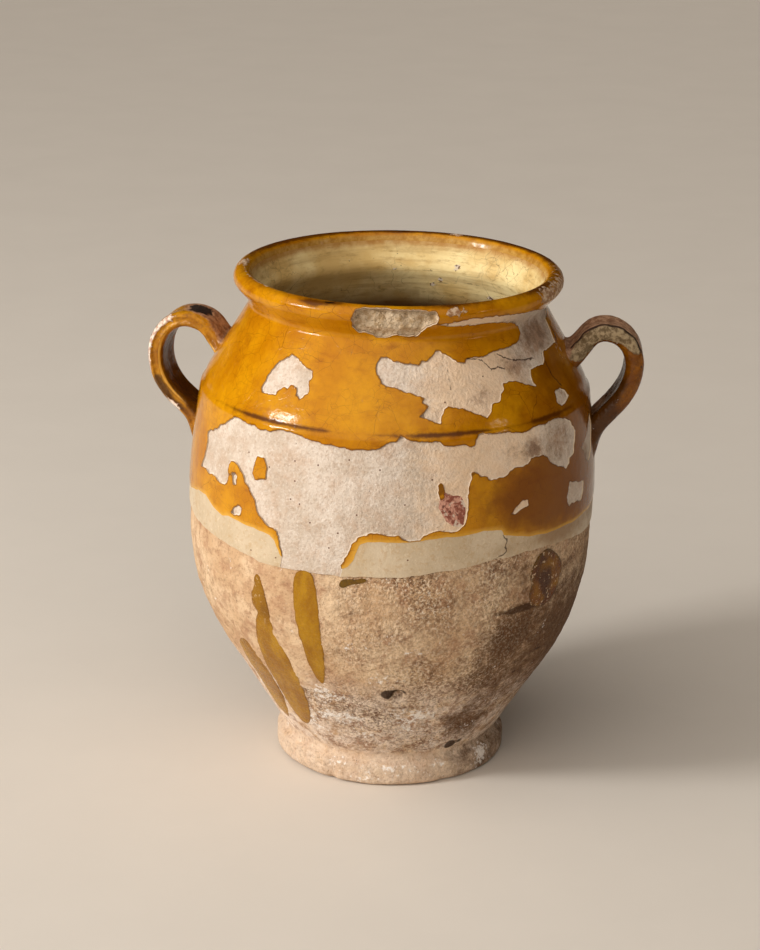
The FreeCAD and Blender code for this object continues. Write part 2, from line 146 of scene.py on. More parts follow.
# Where the amber ends over the cream band, and where the slip ends over bare clay, once round the pot
AMBER_EDGE = [
    (-270, 170), (-250, 168), (-232, 171), (-214, 167), (-196, 170), (-178, 166), (-159.9, 168.5),
    (-150.9, 172.9), (-145.1, 173.7), (-141.7, 171), (-138.1, 169), (-135, 167.4), (-132.1, 169.1),
    (-129.4, 168.8), (-125.7, 167.9), (-121.9, 168.1), (-119.3, 167), (-116.5, 166.5), (-114.5, 163.8),
    (-113.5, 159.5), (-112.6, 155.1), (-104, 153), (-94.7, 153), (-93, 154.7), (-91.4, 159.1),
    (-90.7, 164), (-89.9, 168.2), (-88, 170.2), (-84.8, 170.6), (-79.5, 170.2), (-76.3, 170.5),
    (-71.5, 171.6), (-67.4, 172.3), (-61.9, 172.5), (-59, 173), (-56, 174), (-50.5, 172.8), (-49.8, 169.6),
    (-43, 166.3), (-39.3, 164.6), (-35.3, 163.9), (-31, 163.4), (-26.1, 163.6), (-20.3, 163.1),
    (-12.8, 163.8), (-7.4, 163.2), (8, 166), (26, 163), (44, 168), (62, 165), (78, 169), (90, 170)]
SLIP_EDGE = [
    (-270, 153), (-240, 151), (-210, 155), (-180, 156), (-159.7, 156), (-150.7, 153.9), (-142.9, 153.7),
    (-136, 152.1), (-129.9, 151), (-123.8, 149.6), (-119.3, 148.3), (-114.9, 148), (-110.1, 148.3),
    (-105.5, 148.8), (-101.1, 148.4), (-95.5, 148.7), (-84.7, 149.2), (-79.3, 149.4), (-74, 149.9),
    (-68.6, 152.4), (-64.5, 152.9), (-60.2, 153.7), (-55.8, 154.9), (-52.8, 155.7), (-46.3, 155.7),
    (-41, 156.4), (-35.1, 155.9), (-29.3, 155.1), (-19.9, 153), (-8.6, 150.3), (15, 149), (40, 152),
    (66, 150), (90, 153)]
RUNS = {
    "run_long": [
        (-121.3, 141.1), (-119.5, 139.6), (-118.7, 131.3), (-117.4, 120.5), (-117.2, 109.2),
        (-115.9, 95.6), (-114.1, 79.2), (-114.5, 58.4), (-115.6, 40.6), (-118.9, 25.1), (-125.2, 19.6),
        (-127.6, 29.3), (-128.2, 42.8), (-127.6, 60.6), (-126.8, 79.2), (-125.9, 93), (-123.3, 109.1),
        (-121.4, 115.6), (-123.4, 119.7), (-123.2, 128.8)],
    "run_short": [
        (-107.9, 149.3), (-103.1, 149.3), (-101.7, 138.5), (-101.4, 122.9), (-101.1, 106.1), (-101.7, 87),
        (-104.3, 67.8), (-106.2, 72.3), (-107.6, 84.4), (-107.8, 103.4), (-108.7, 122.1), (-108.7, 136)],
    "run_side": [
        (-138.2, 83.9), (-133.4, 89.9), (-131, 85.6), (-128.6, 72.9), (-128.4, 55.5), (-130.6, 32.9),
        (-136.4, 18.1), (-140.8, 19.7), (-142.1, 32), (-141.2, 51), (-140, 68.2)],
    "dash": [
        (-95.5, 142.6), (-94.7, 146.5), (-91.4, 147.1), (-87.9, 148.3), (-88.1, 145.8), (-92.2, 143.9),
        (-94.4, 141.1)],
    "blob": [
        (-35, 152.8), (-32.1, 153.6), (-29.1, 149.4), (-24.8, 140), (-25.7, 131.8), (-27, 124.3),
        (-29.3, 119.3), (-33.2, 117.1), (-37.9, 120.5), (-39.7, 127.9), (-38.5, 134.2), (-39.7, 141),
        (-38, 146.4), (-36.6, 149.9)]}

# Handles, as (angle, half thickness, middle line of the loop by distance from the axis and height)
HANDLES = {
    "handle_left": (173.6, 5.0, [
        (84.0, 238.5), (107.7, 247.5), (114.8, 256.3), (123.8, 260.2), (133.8, 259.0), (142.8, 251.0),
        (146.4, 237.3), (142.8, 222.5), (133.3, 210.8), (123.3, 201.5), (118.1, 190.0), (111.1, 178.0)]),
    "handle_right": (6.4, 5.9, [
        (90.0, 244.5), (105.7, 253.5), (116.8, 265.3), (129.8, 264.5), (139.1, 252.0), (137.9, 236.0),
        (128.0, 220.0), (118.5, 208.0), (114.8, 196.0), (111.0, 184.0)])}
STRAP_HALF_WIDTH = 13.5




def rounded(corners, step):
    """Points about a step apart along a path of (radius, height, bend) corners."""
    points = [np.array(corners[0][:2], float)]

    def run_to(point):
        start = points[-1]
        count = max(1, round(math.dist(start, point) / step))
        points.extend(start + (point - start) * k / count for k in range(1, count + 1))

    for i in range(1, len(corners) - 1):
        corner = np.array(corners[i][:2], float)
        bend = corners[i][2]
        if not bend:
            run_to(corner)
            continue
        before = np.array(corners[i - 1][:2]) - corner
        after = np.array(corners[i + 1][:2]) - corner
        before /= np.hypot(*before)
        after /= np.hypot(*after)
        angle = math.acos(before @ after)
        run_to(corner + before * bend / math.tan(angle / 2))
        centre = corner + (before + after) / np.hypot(*(before + after)) * bend / math.sin(angle / 2)
        spoke = points[-1] - centre
        sweep = math.pi - angle
        if before[0] * after[1] - before[1] * after[0] > 0:
            sweep = -sweep
        count = max(3, round(abs(sweep) * bend / step))
        for k in range(1, count + 1):
            c, s = math.cos(sweep * k / count), math.sin(sweep * k / count)
            points.append(centre + np.array([c * spoke[0] - s * spoke[1], s * spoke[0] + c * spoke[1]]))
    run_to(np.array(corners[-1][:2], float))
    return np.array(points)


def along(points):
    return np.concatenate([[0], np.cumsum(np.hypot(*np.diff(points, axis=0).T))])


def outward(points):
    """Unit normals to the right of a path."""
    step = np.gradient(points, axis=0)
    step /= np.hypot(*step.T)[:, None]
    return np.stack([step[:, 1], -step[:, 0]], axis=1)


wall = rounded(WALL, 0.4)
wall_s = along(wall)
wall_n = outward(wall)

lattice = np.random.default_rng(11).uniform(-1, 1, (32, 32, 32))


def noise(points, size, octaves=3, shift=0.0):
    """Smooth random bumps about a size across at points in mm, mostly within -1 and 1."""
    points = np.asarray(points, float)
    total = np.zeros(points.shape[:-1])
    for k in range(octaves):
        q = points / size * 2 ** k + 5.37 * k + shift
        cell = np.floor(q).astype(int)
        f = q - cell
        f = f * f * (3 - 2 * f)
        for corner in range(8):
            d = np.array([corner & 1, corner >> 1 & 1, corner >> 2 & 1])
            weight = np.prod(np.where(d, f, 1 - f), axis=-1)
            i = (cell + d) % 32
            total += weight * lattice[i[..., 0], i[..., 1], i[..., 2]] / 2 ** k
    return total


def ease(value, low, high):
    """Goes smoothly from 0 where the value is low to 1 where it is high."""
    t = np.clip((value - low) / (high - low), 0, 1)
    return t * t * (3 - 2 * t)


def between(value, rise, full, fall, gone):
    return ease(value, rise, full) * (1 - ease(value, fall, gone))


def bell(value, middle, width):
    return np.exp(-((value - middle) / width) ** 2)


def upright(deg, r, z):
    a = np.radians(deg)
    return np.stack([r * np.cos(a), r * np.sin(a), z + 0 * r], axis=-1)


def uneven(deg, r, z):
    """How far the hand-thrown wall lies off its true circle, mostly to the inside and so below 0."""
    p = upright(deg, r, z)
    rings = np.sin(z / 1.35 + 1.6 * noise(p, 60, 1)) * (0.5 + 0.5 * noise(p, 45, 1, 3.1))
    return -0.35 + 0.22 * noise(p, 55, 2) + 0.05 * noise(p, 11, 2) + 0.035 * rings


def stand(deg, r, z):
    """Places points of the upright pot as it stands: a little out of true and leaning. In metres."""
    p = upright(deg, r, z)
    way = np.array([math.cos(math.radians(LEAN_TOWARDS_DEG)), math.sin(math.radians(LEAN_TOWARDS_DEG))])
    p[..., :2] += np.interp(z, *zip(*SWAY))[..., None] * way
    lean = math.radians(LEAN_DEG)
    k = p[..., :2] @ way
    tilted = k * math.cos(lean) + p[..., 2] * math.sin(lean)
    p[..., 2] = np.maximum(p[..., 2] * math.cos(lean) - k * math.sin(lean), 0)
    p[..., :2] += (tilted - k)[..., None] * way
    return p * METRE


def on_wall(deg, s, up):
    """A point at an angle, a distance up the wall and a height over the clay."""
    r, z, nr, nz = (np.interp(s, wall_s, values) for values in (*wall.T, *wall_n.T))
    up = up + uneven(deg, r, z)
    return stand(deg, r + nr * up, z + nz * up)


def lengths(v):
    return np.sqrt((v * v).sum(-1, keepdims=True))


def sheet(points):
    """Flat points as points in space, for noise."""
    return np.concatenate([points, 0 * points[:, :1]], axis=1)


def inside(points, loop):
    """Which 2-D points lie inside a closed loop."""
    x, y = points[:, 0], points[:, 1]
    hit = np.zeros(len(points), bool)
    ends = np.roll(loop, -1, axis=0)
    for (x0, y0), (x1, y1) in zip(loop, ends):
        if y0 != y1:
            hit ^= ((y0 > y) != (y1 > y)) & (x < (x1 - x0) * (y - y0) / (y1 - y0) + x0)
    return hit


def distance(points, line):
    """Distance from 2-D points to the nearest of a line's points."""
    best = np.full(len(points), 1e9)
    for k in range(0, len(line), 64):
        part = line[k:k + 64]
        d = ((points[:, None, :] - part[None]) ** 2).sum(-1).min(1)
        best = np.minimum(best, d)
    return np.sqrt(best)


def ragged(line, closed, step=0.8, amount=0.42, size=2.2, soften=0):
    """A broken or melted edge: points a step apart along a line, in mm, pushed a little to either side."""
    corners = np.array(line + line[:1] if closed else line, float) * (MM_PER_DEG, 1)
    for _ in range(soften):
        a, b = corners[:-1], corners[1:]
        cut = np.stack([0.75 * a + 0.25 * b, 0.25 * a + 0.75 * b], axis=1).reshape(-1, 2)
        corners = np.concatenate([cut, cut[:1]])
    t = along(corners)
    at = np.linspace(0, t[-1], max(6, int(t[-1] / step)) + 1)
    points = np.stack([np.interp(at, t, corners[:, 0]), np.interp(at, t, corners[:, 1])], axis=1)
    side = outward(points)
    push = amount * noise(sheet(points), size, 3, 9.7)
    if not closed:
        push[[0, -1]] = 0
    points = points + side * push[:, None]
    return points[:-1] if closed else points


def fill(loops, lines, low, high, spacing, extra=None):
    """Triangles over the box from low to high, with an edge along every loop and line."""
    columns = np.linspace(low[0], high[0], max(2, round((high[0] - low[0]) / spacing)) + 1)
    rows = np.linspace(low[1], high[1], max(2, round((high[1] - low[1]) / spacing)) + 1)
    grid = np.stack(np.meshgrid(columns, rows), axis=-1)
    stagger = spacing * 0.42
    clear = spacing * 0.55
    grid[1:-1:2, 1:-1, 0] += stagger
    grid = grid.reshape(-1, 2)
    x, y = grid.T
    edge = (x <= low[0]) | (x >= high[0]) | (y <= low[1]) | (y >= high[1])
    loose = [] if extra is None else [extra]
    every = np.concatenate(loops + lines + loose)
    grid = grid[edge | (distance(grid, every) > clear)]
    points = [grid]
    edges = []
    start = len(grid)
    for group, closed in ((loops, True), (lines, False)):
        for line in group:
            n = len(line)
            edges += [(start + k, start + k + 1) for k in range(n - 1)]
            if closed:
                edges.append((start + n - 1, start))
            points.append(line)
            start += n
    points = np.concatenate(points + loose)
    found = delaunay_2d_cdt([tuple(map(float, p)) for p in points], edges, [], 0, 1e-5, False)
    return np.array([tuple(p) for p in found[0]]), np.array(found[2])


def mesh_object(name, points, faces, slots=None, normals=None, attributes=None):
    mesh = bpy.data.meshes.new(name)
    mesh.from_pydata([tuple(p) for p in points], [], [tuple(map(int, f)) for f in faces])
    for key, values in (attributes or {}).items():
        layer = mesh.attributes.new(key, "FLOAT", "POINT")
        layer.data.foreach_set("value", np.asarray(values, np.float32))
    if slots is not None:
        mesh.polygons.foreach_set("material_index", np.asarray(slots, np.int32))
    mesh.polygons.foreach_set("use_smooth", np.ones(len(faces), bool))
    mesh.update()
    if normals is not None:
        mesh.normals_split_custom_set_from_vertices([tuple(n) for n in normals])
    thing = bpy.data.objects.new(name, mesh)
    bpy.context.scene.collection.objects.link(thing)
    return thing


def finish_piece(thing, nodes, slot, *materials):
    for material in materials:
        thing.data.materials.append(material)
    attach(thing, "root")
    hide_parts(*nodes)


def skin(points2d, triangles, up, drop):
    """A thin coat over the wall: its face with the wall's own normals, and its broken edges.
    Returns points, faces, normals, the flat point of each vertex, which vertices are on a broken edge
    and how many faces are on top."""
    used, index = np.unique(triangles, return_inverse=True)
    triangles = index.reshape(-1, 3)
    flat = points2d[used]
    deg, s = flat[:, 0] / MM_PER_DEG, flat[:, 1]
    up = up[used]
    top = on_wall(deg, s, up)
    step = 0.3
    turn = step / MM_PER_DEG
    across = on_wall(deg + turn, s, up) - on_wall(deg - turn, s, up)
    rise = on_wall(deg, s + step, up) - on_wall(deg, s - step, up)
    normal = np.cross(across, rise)
    normal /= lengths(normal)
    count = {}
    for a, b, c in triangles:
        for e in ((a, b), (b, c), (c, a)):
            count[e] = count.get(e, 0) + 1
    border = [e for e in count if (e[1], e[0]) not in count]
    rim = sorted({i for e in border for i in e})
    place_of = {i: k for k, i in enumerate(rim)}
    ring = np.array(rim)
    out = np.zeros((len(rim), 2))
    for a, b in border:
        d = flat[b] - flat[a]
        for i in (a, b):
            out[place_of[i]] += (d[1], -d[0])
    out /= np.maximum(lengths(out), 1e-9)
    east = across[ring] / lengths(across[ring])
    north = rise[ring] / lengths(rise[ring])
    edge_normal = east * out[:, :1] + north * out[:, 1:]
    low = on_wall(deg[ring], s[ring], drop)
    n, m = len(top), len(rim)
    points = np.concatenate([top, top[ring], low])
    normals = np.concatenate([normal, edge_normal, edge_normal])
    faces = [tuple(t) for t in triangles]
    for a, b in border:
        i, j = place_of[a], place_of[b]
        faces.append((n + j, n + i, n + m + i, n + m + j))
    torn = np.concatenate([np.zeros(n), np.ones(2 * m)])
    return points, faces, normals, np.concatenate([flat, flat[ring], flat[ring]]), torn, len(triangles)


def weld_back(points2d, triangles, low, high):
    """Joins the last column to the first, so that the sheet closes round the back."""
    first = {round(p[1], 4): i for i, p in enumerate(points2d) if p[0] <= low + 1e-4}
    swap = np.arange(len(points2d))
    for i, p in enumerate(points2d):
        if p[0] >= high - 1e-4 and round(p[1], 4) in first:
            swap[i] = first[round(p[1], 4)]
    return swap[triangles]


def spots(flat, places):
    """Soft round marks, as (angle, distance up the wall, width, height, strength)."""
    total = np.zeros(len(flat))
    for deg, s, wide, high, strength in places:
        off = ((flat[:, 0] / MM_PER_DEG - deg + 180) % 360 - 180) * MM_PER_DEG
        total += strength * bell(off, 0, wide) * bell(flat[:, 1], s, high)
    return total


# Materials
def rgb(r, g, b):
    """A colour from 0-255 values as seen on a screen."""
    shares = [((v / 255 + 0.055) / 1.055) ** 2.4 if v > 10 else v / 255 / 12.92 for v in (r, g, b)]
    return (*shares, 1)


class Paint:
    """A material made of nodes, laid coat over coat. Sizes are in millimetres on the object."""

    def __init__(self, name, **surface):
        self.material = bpy.data.materials.new(name)
        self.material.use_nodes = True
        self.tree = self.material.node_tree
        self.shader = self.tree.nodes["Principled BSDF"]
        self.base = None
        for key, value in surface.items():
            self.shader.inputs[key].default_value = value
        here = self.node("ShaderNodeTexCoord").outputs["Object"]
        self.here = self.node(
            "ShaderNodeVectorMath", {0: here, "Scale": 1 / METRE}, operation="SCALE").outputs[0]

    def node(self, kind, sockets=None, **settings):
        node = self.tree.nodes.new(kind)
        for key, value in settings.items():
            setattr(node, key, value)
        for key, value in (sockets or {}).items():
            if isinstance(value, bpy.types.NodeSocket):
                self.tree.links.new(value, node.inputs[key])
            else:
                node.inputs[key].default_value = value
        return node

    def noise(self, size, detail=4.0, rough=0.6, shift=0.0, stretch=(1, 1, 1)):
        where = self.node(
            "ShaderNodeMapping", {"Vector": self.here, "Location": (shift, shift, shift), "Scale": stretch})
        return self.node("ShaderNodeTexNoise", {
            "Vector": where.outputs[0], "Scale": 1 / size, "Detail": detail, "Roughness": rough}).outputs[0]

    def cracks(self, size, width, wander=0.12, shift=0.0):
        """1 along the lines of a net of fine cracks, 0 between them."""
        bend = self.node("ShaderNodeTexNoise", {"Vector": self.here, "Scale": 1.3 / size, "Detail": 3.0})
        push = self.node(
            "ShaderNodeVectorMath", {0: bend.outputs["Color"], "Scale": size * wander * 2},
            operation="SCALE")
        where = self.node("ShaderNodeVectorMath", {0: self.here, 1: push.outputs[0]}, operation="ADD")
        moved = self.node("ShaderNodeMapping", {"Vector": where.outputs[0], "Location": (shift, 0, shift)})
        cells = self.node(
            "ShaderNodeTexVoronoi", {"Vector": moved.outputs[0], "Scale": 1 / size},
            feature="DISTANCE_TO_EDGE")
        there = self.step(self.noise(size * 4, 2, 0.5, shift + 3), 0.42, 0.62)
        return self.both(self.step(cells.outputs["Distance"], width / size, width / size * 0.2), there)

    def dots(self, size, width, shift=0.0):
        moved = self.node("ShaderNodeMapping", {"Vector": self.here, "Location": (shift, shift, shift)})
        cells = self.node("ShaderNodeTexVoronoi", {"Vector": moved.outputs[0], "Scale": 1 / size})
        return self.step(cells.outputs["Distance"], width / size, width / size * 0.45)

    def step(self, value, low, high, bottom=0.0, top=1.0):
        return self.node(
            "ShaderNodeMapRange",
            {"Value": value, "From Min": low, "From Max": high, "To Min": bottom, "To Max": top},
            interpolation_type="SMOOTHSTEP").outputs[0]

    def math(self, operation, a, b):
        return self.node("ShaderNodeMath", {0: a, 1: b}, operation=operation).outputs[0]

    def both(self, a, b):
        return self.math("MULTIPLY", a, b)

    def attribute(self, name):
        return self.node("ShaderNodeAttribute", attribute_name=name).outputs["Fac"]

    def frayed(self, name, amount, *grain):
        """An attribute of the mesh, with its outline broken up by noise of the given grain."""
        wander = self.math("SUBTRACT", self.noise(*grain), 0.5)
        return self.math("ADD", self.attribute(name), self.both(wander, amount))

    def mix(self, share, a, b):
        node = self.node("ShaderNodeMix", data_type="RGBA", clamp_factor=True)
        for socket, value in ((node.inputs[0], share), (node.inputs[6], a), (node.inputs[7], b)):
            if isinstance(value, bpy.types.NodeSocket):
                self.tree.links.new(value, socket)
            else:
                socket.default_value = value
        return node.outputs[2]

    def blend(self, source, low, high, a, b):
        """Colour a where the source is low, going over to colour b where it is high."""
        return self.mix(self.step(source, low, high), rgb(*a), rgb(*b))

    def lay(self, share, strength, colour):
        """Lays a colour, or the outcome of a blend, over the coats before it."""
        if strength < 1:
            share = self.both(share, strength)
        if isinstance(colour, tuple):
            colour = rgb(*colour)
        self.base = self.mix(share, self.base, colour)

    def coat(self, source, low, high, strength, colour):
        """Lays a colour from where the source passes low, at its full strength from high."""
        self.lay(self.step(source, low, high), strength, colour)

    def done(self, roughness=None, *relief):
        """The material, with its roughness and with relief from (height, millimetres) pairs."""
        self.tree.links.new(self.base, self.shader.inputs["Base Color"])
        if roughness is not None:
            self.tree.links.new(roughness, self.shader.inputs["Roughness"])
        normal = self.shader.inputs["Normal"]
        for height, depth in reversed(relief):
            bump = self.node(
                "ShaderNodeBump", {"Height": height, "Distance": depth * METRE, "Strength": 1.0})
            self.tree.links.new(bump.outputs[0], normal)
            normal = bump.inputs["Normal"]
        return self.material


def amber_paint():
    m = Paint("amber_glaze", IOR=1.3)
    fine = m.noise(4.5, 6, 0.65, 7)
    lapped = m.blend(fine, 0.35, 0.65, (204, 160, 84), (172, 122, 50))
    dust = m.blend(m.noise(2.4, 3, 0.6, 29), 0.4, 0.6, (216, 190, 162), (156, 116, 84))
    worn = m.step(m.frayed("worn", 1.8, 3.2, 4, 0.7, 23), 0.45, 0.62)
    m.base = m.blend(m.noise(30, 5, 0.6), 0.35, 0.68, (184, 117, 4), (208, 144, 10))
    m.coat(fine, 0.42, 0.75, 0.4, (162, 94, 3))
    m.coat(m.noise(15, 5, 0.6, 3, (1, 1, 2.2)), 0.54, 0.76, 0.6, (146, 80, 5))
    # Smoke and painted shade, heaviest on the side away from the light
    m.coat(m.frayed("shade", 1.0, 12, 5, 0.66, 17), 0.2, 1.1, 0.85, (114, 60, 0))
    m.lay(m.cracks(5.2, 0.11), 0.5, (104, 54, 4))
    m.lay(m.cracks(17, 0.15, 0.15, 40), 0.65, (86, 42, 4))
    m.lay(m.dots(13, 0.4), 0.8, (72, 36, 6))
    m.lay(m.attribute("thin"), 0.75, (222, 172, 74))
    m.coat(m.frayed("burn", 0.9, 7, 4, 0.7, 11), 0.25, 0.95, 0.92, (82, 40, 6))
    m.coat(m.frayed("lap", 0.7, 8, 4, 0.65, 83), 0.2, 0.9, 0.9, lapped)
    m.coat(m.attribute("char"), 0.35, 0.8, 1, (38, 20, 8))
    m.coat(m.attribute("break"), 0.55, 0.95, 0.7, (96, 54, 8))
    m.coat(m.attribute("crack"), 0.6, 0.85, 0.9, (52, 32, 18))
    m.lay(worn, 0.9, dust)
    m.lay(m.attribute("torn"), 0.7, (240, 220, 188))
    return m.done(
        m.math("ADD", m.step(fine, 0.35, 0.8, 0.1, 0.22), m.both(worn, 0.5)), (m.noise(9, 3, 0.5, 2), 0.3),
        (m.cracks(6, 0.13), -0.04), (fine, 0.08), (m.both(worn, m.noise(2.0, 3, 0.6, 3)), 0.8))


def slip_paint():
    m = Paint("bare_slip", IOR=1.35)
    grain = m.noise(1.7, 2, 0.6, 5)
    chaff = m.noise(5.5, 4, 0.66, 71)
    dots = m.dots(9, 0.42, 3)
    grime = m.blend(chaff, 0.4, 0.6, (160, 124, 96), (118, 86, 62))
    m.base = m.blend(m.noise(24, 5, 0.6), 0.38, 0.62, (200, 183, 165), (219, 204, 189))
    m.coat(m.noise(14, 6, 0.74, 31), 0.46, 0.66, 0.62, (198, 170, 146))
    m.coat(chaff, 0.54, 0.66, 0.5, (186, 160, 136))
    m.coat(grain, 0.5, 0.66, 0.36, (172, 146, 124))
    m.coat(m.noise(1.6, 2, 0.6, 45), 0.54, 0.7, 0.3, (246, 238, 230))
    m.lay(dots, 0.7, (110, 66, 36))
    # Painted light: a lighter, warm patch on the slip right of the front
    m.coat(m.frayed("warm_painted_light", 1.5, 7, 6, 0.78, 113), 0.15, 1.15, 0.62, (252, 216, 176))
    m.coat(m.frayed("stain_and_shade", 1.9, 5, 6, 0.78, 91), 0.25, 1.0, 0.82, grime)
    # Painted highlight on the fresh breaks along the flakes' right and lower edges, then dirt and painted
    # shadow along their left and upper edges
    m.coat(m.attribute("fresh_and_lit_edge"), 0.55, 0.95, 0.6, (250, 240, 226))
    m.coat(m.attribute("dirt_and_edge_shadow"), 0.62, 1.0, 0.7, (84, 52, 28))
    m.coat(m.attribute("specks"), 0.45, 0.7, 1, (88, 44, 20))
    m.coat(m.frayed("crack", 0.7, 2.6, 2, 0.6, 67), 0.72, 0.92, 0.9, (60, 36, 22))
    return m.done(
        m.step(chaff, 0.3, 0.8, 0.62, 0.9), (m.noise(12, 4, 0.6, 9), 0.6), (chaff, 0.8), (grain, 0.5),
        (dots, -0.5))


def spall_paint():
    m = Paint("spalled_clay", IOR=1.4)
    fine = m.noise(2.8, 3, 0.65, 17)
    m.base = m.blend(fine, 0.42, 0.58, (214, 158, 136), (146, 84, 66))
    m.coat(m.noise(5, 3, 0.6, 37), 0.54, 0.62, 0.9, (228, 208, 188))
    m.coat(m.noise(3.4, 3, 0.6, 57), 0.6, 0.68, 0.8, (84, 46, 34))
    return m.done(m.step(fine, 0.3, 0.8, 0.75, 0.92), (fine, 1.2))


def cream_paint():
    m = Paint("cream_glaze", IOR=1.35)
    fine = m.noise(2.6, 3, 0.6, 8)
    m.base = m.blend(m.noise(26, 5, 0.6, 4), 0.35, 0.65, (199, 178, 147), (212, 193, 165))
    m.coat(m.noise(8, 6, 0.7, 28), 0.5, 0.76, 0.5, (200, 168, 124))
    m.coat(fine, 0.52, 0.66, 0.4, (190, 156, 114))
    m.coat(m.noise(1.8, 2, 0.6, 48), 0.58, 0.7, 0.35, (236, 218, 190))
    m.lay(m.cracks(14, 0.18, 0.4, 5), 0.3, (140, 100, 60))
    m.lay(m.dots(9, 0.36, 9), 0.7, (112, 70, 38))
    m.coat(m.frayed("stain_and_shade", 0.7, 6, 6, 0.72, 91), 0.2, 1.0, 0.75, (140, 102, 62))
    m.coat(m.attribute("specks"), 0.45, 0.7, 1, (96, 50, 24))
    m.coat(m.frayed("crack", 0.7, 2.6, 2, 0.6, 67), 0.72, 0.95, 0.85, (60, 38, 22))
    return m.done(m.step(fine, 0.3, 0.8, 0.34, 0.6), (m.noise(9, 4, 0.6, 9), 0.3), (fine, 0.25))


def clay_paint():
    m = Paint("fired_clay", IOR=1.33)
    fine = m.noise(4.2, 3, 0.62, 5)
    grit = m.noise(1.7, 2, 0.6, 15)
    coarse = m.attribute("coarse")
    low = m.attribute("low")
    # Soot and painted shade, heaviest on the side away from the light
    soot_and_shade = m.step(m.frayed("soot_and_shade", 3.4, 8, 6, 0.78, 61, (1, 1, 1.3)), 0.0, 1.6)
    grains = m.both(m.step(m.noise(1.6, 2, 0.6, 65), 0.5, 0.62), coarse)
    clean = m.math("SUBTRACT", 0.85, m.both(soot_and_shade, 0.6))
    clouds = m.both(m.math("SUBTRACT", m.noise(13, 4, 0.7, 47), 0.5), 2.5)
    lime = m.math("ADD", m.frayed("lime", 5.0, 2.6, 4, 0.7, 41), clouds)
    m.base = m.blend(m.noise(34, 5, 0.6, 2), 0.38, 0.64, (206, 170, 132), (228, 198, 162))
    m.coat(m.noise(15, 6, 0.74, 21), 0.46, 0.66, 0.72, (174, 130, 98))
    m.coat(m.noise(6, 5, 0.72, 25), 0.5, 0.66, 0.5, (152, 110, 80))
    m.lay(m.both(m.step(m.noise(10, 6, 0.74, 37), 0.36, 0.56), low), 0.9, (240, 221, 204))
    m.lay(m.both(m.step(m.noise(7, 6, 0.74, 19), 0.48, 0.6), low), 0.75, (150, 108, 78))
    worn_foot = m.both(m.attribute("foot"), m.step(m.noise(8, 5, 0.7, 43), 0.36, 0.6, 0.3, 0.72))
    m.lay(worn_foot, 1, (226, 204, 182))
    m.lay(soot_and_shade, 0.95, m.blend(fine, 0.42, 0.6, (98, 64, 34), (72, 44, 22)))
    m.lay(m.both(m.step(fine, 0.48, 0.62), coarse), 0.5, (112, 78, 48))
    m.lay(m.both(m.step(grit, 0.46, 0.62), coarse), 0.58, (104, 70, 44))
    m.lay(m.both(grains, clean), 0.85, (240, 218, 190))
    m.coat(m.noise(1.8, 2, 0.6, 99), 0.56, 0.68, 0.35, (130, 92, 64))
    m.coat(lime, 0.8, 1.4, 0.85, (246, 238, 230))
    m.lay(m.dots(6, 0.38, 3), 0.85, (66, 40, 24))
    # Painted shadow in the hole and pits, with a few dark spots
    m.coat(m.attribute("pit"), 0.35, 0.75, 0.92, (52, 32, 16))
    m.coat(m.frayed("tail", 0.8, 3, 3, 0.6, 33), 0.3, 0.8, 0.85, (66, 38, 14))
    weathered = m.base
    m.base = m.blend(m.noise(4.2, 5, 0.72, 77), 0.4, 0.62, (218, 196, 166), (176, 148, 112))
    m.coat(m.noise(1.8, 3, 0.66, 87), 0.54, 0.68, 0.6, (128, 102, 70))
    m.base = m.mix(m.both(m.step(m.attribute("broken"), 0.3, 0.7), 0.95), weathered, m.base)
    depth = m.math("ADD", m.both(coarse, 0.85), 0.15)
    return m.done(
        m.step(fine, 0.3, 0.8, 0.75, 0.95), (m.noise(8, 5, 0.68, 9), 1.2), (m.both(fine, depth), 2.0),
        (m.both(grit, depth), -1.5))


def lining_paint():
    m = Paint("lining_glaze", IOR=1.22)
    fine = m.noise(3.2, 6, 0.7, 8)
    chipped = m.blend(m.noise(2.2, 2, 0.6, 13), 0.45, 0.55, (226, 208, 186), (110, 82, 56))
    m.base = m.blend(m.noise(30, 5, 0.6, 14), 0.35, 0.65, (224, 190, 124), (248, 226, 168))
    m.coat(m.noise(9, 6, 0.7, 51, (1, 1, 3)), 0.5, 0.76, 0.6, (160, 120, 62))
    m.lay(m.cracks(13, 0.25, 0.5, 15), 0.5, (96, 66, 36))
    m.lay(m.cracks(38, 0.4, 0.6, 35), 0.6, (84, 56, 32))
    m.lay(m.dots(9, 0.5, 19), 0.75, (86, 56, 34))
    m.coat(m.noise(9, 4, 0.62, 51, (0.16, 0.16, 2.2)), 0.46, 0.66, 0.3, (150, 104, 40))
    # Painted shade deep inside, darker the further in from the lap
    m.lay(m.attribute("stain_and_shade"), 0.96, (96, 50, 2))
    m.coat(m.frayed("lip", 0.8, 9, 4, 0.65, 83), 0.1, 1.0, 0.92, (166, 104, 16))
    m.coat(m.frayed("chips", 1.6, 3, 3, 0.65, 93), 0.5, 0.6, 1, chipped)
    m.coat(m.frayed("crack", 0.8, 2.6, 2, 0.6, 67), 0.7, 1.0, 0.6, (92, 60, 32))
    gloss = m.math("ADD", m.step(fine, 0.3, 0.8, 0.05, 0.16), m.both(m.attribute("dull"), 0.5))
    return m.done(gloss, (m.noise(10, 3, 0.5, 9), 0.2), (fine, 0.03))


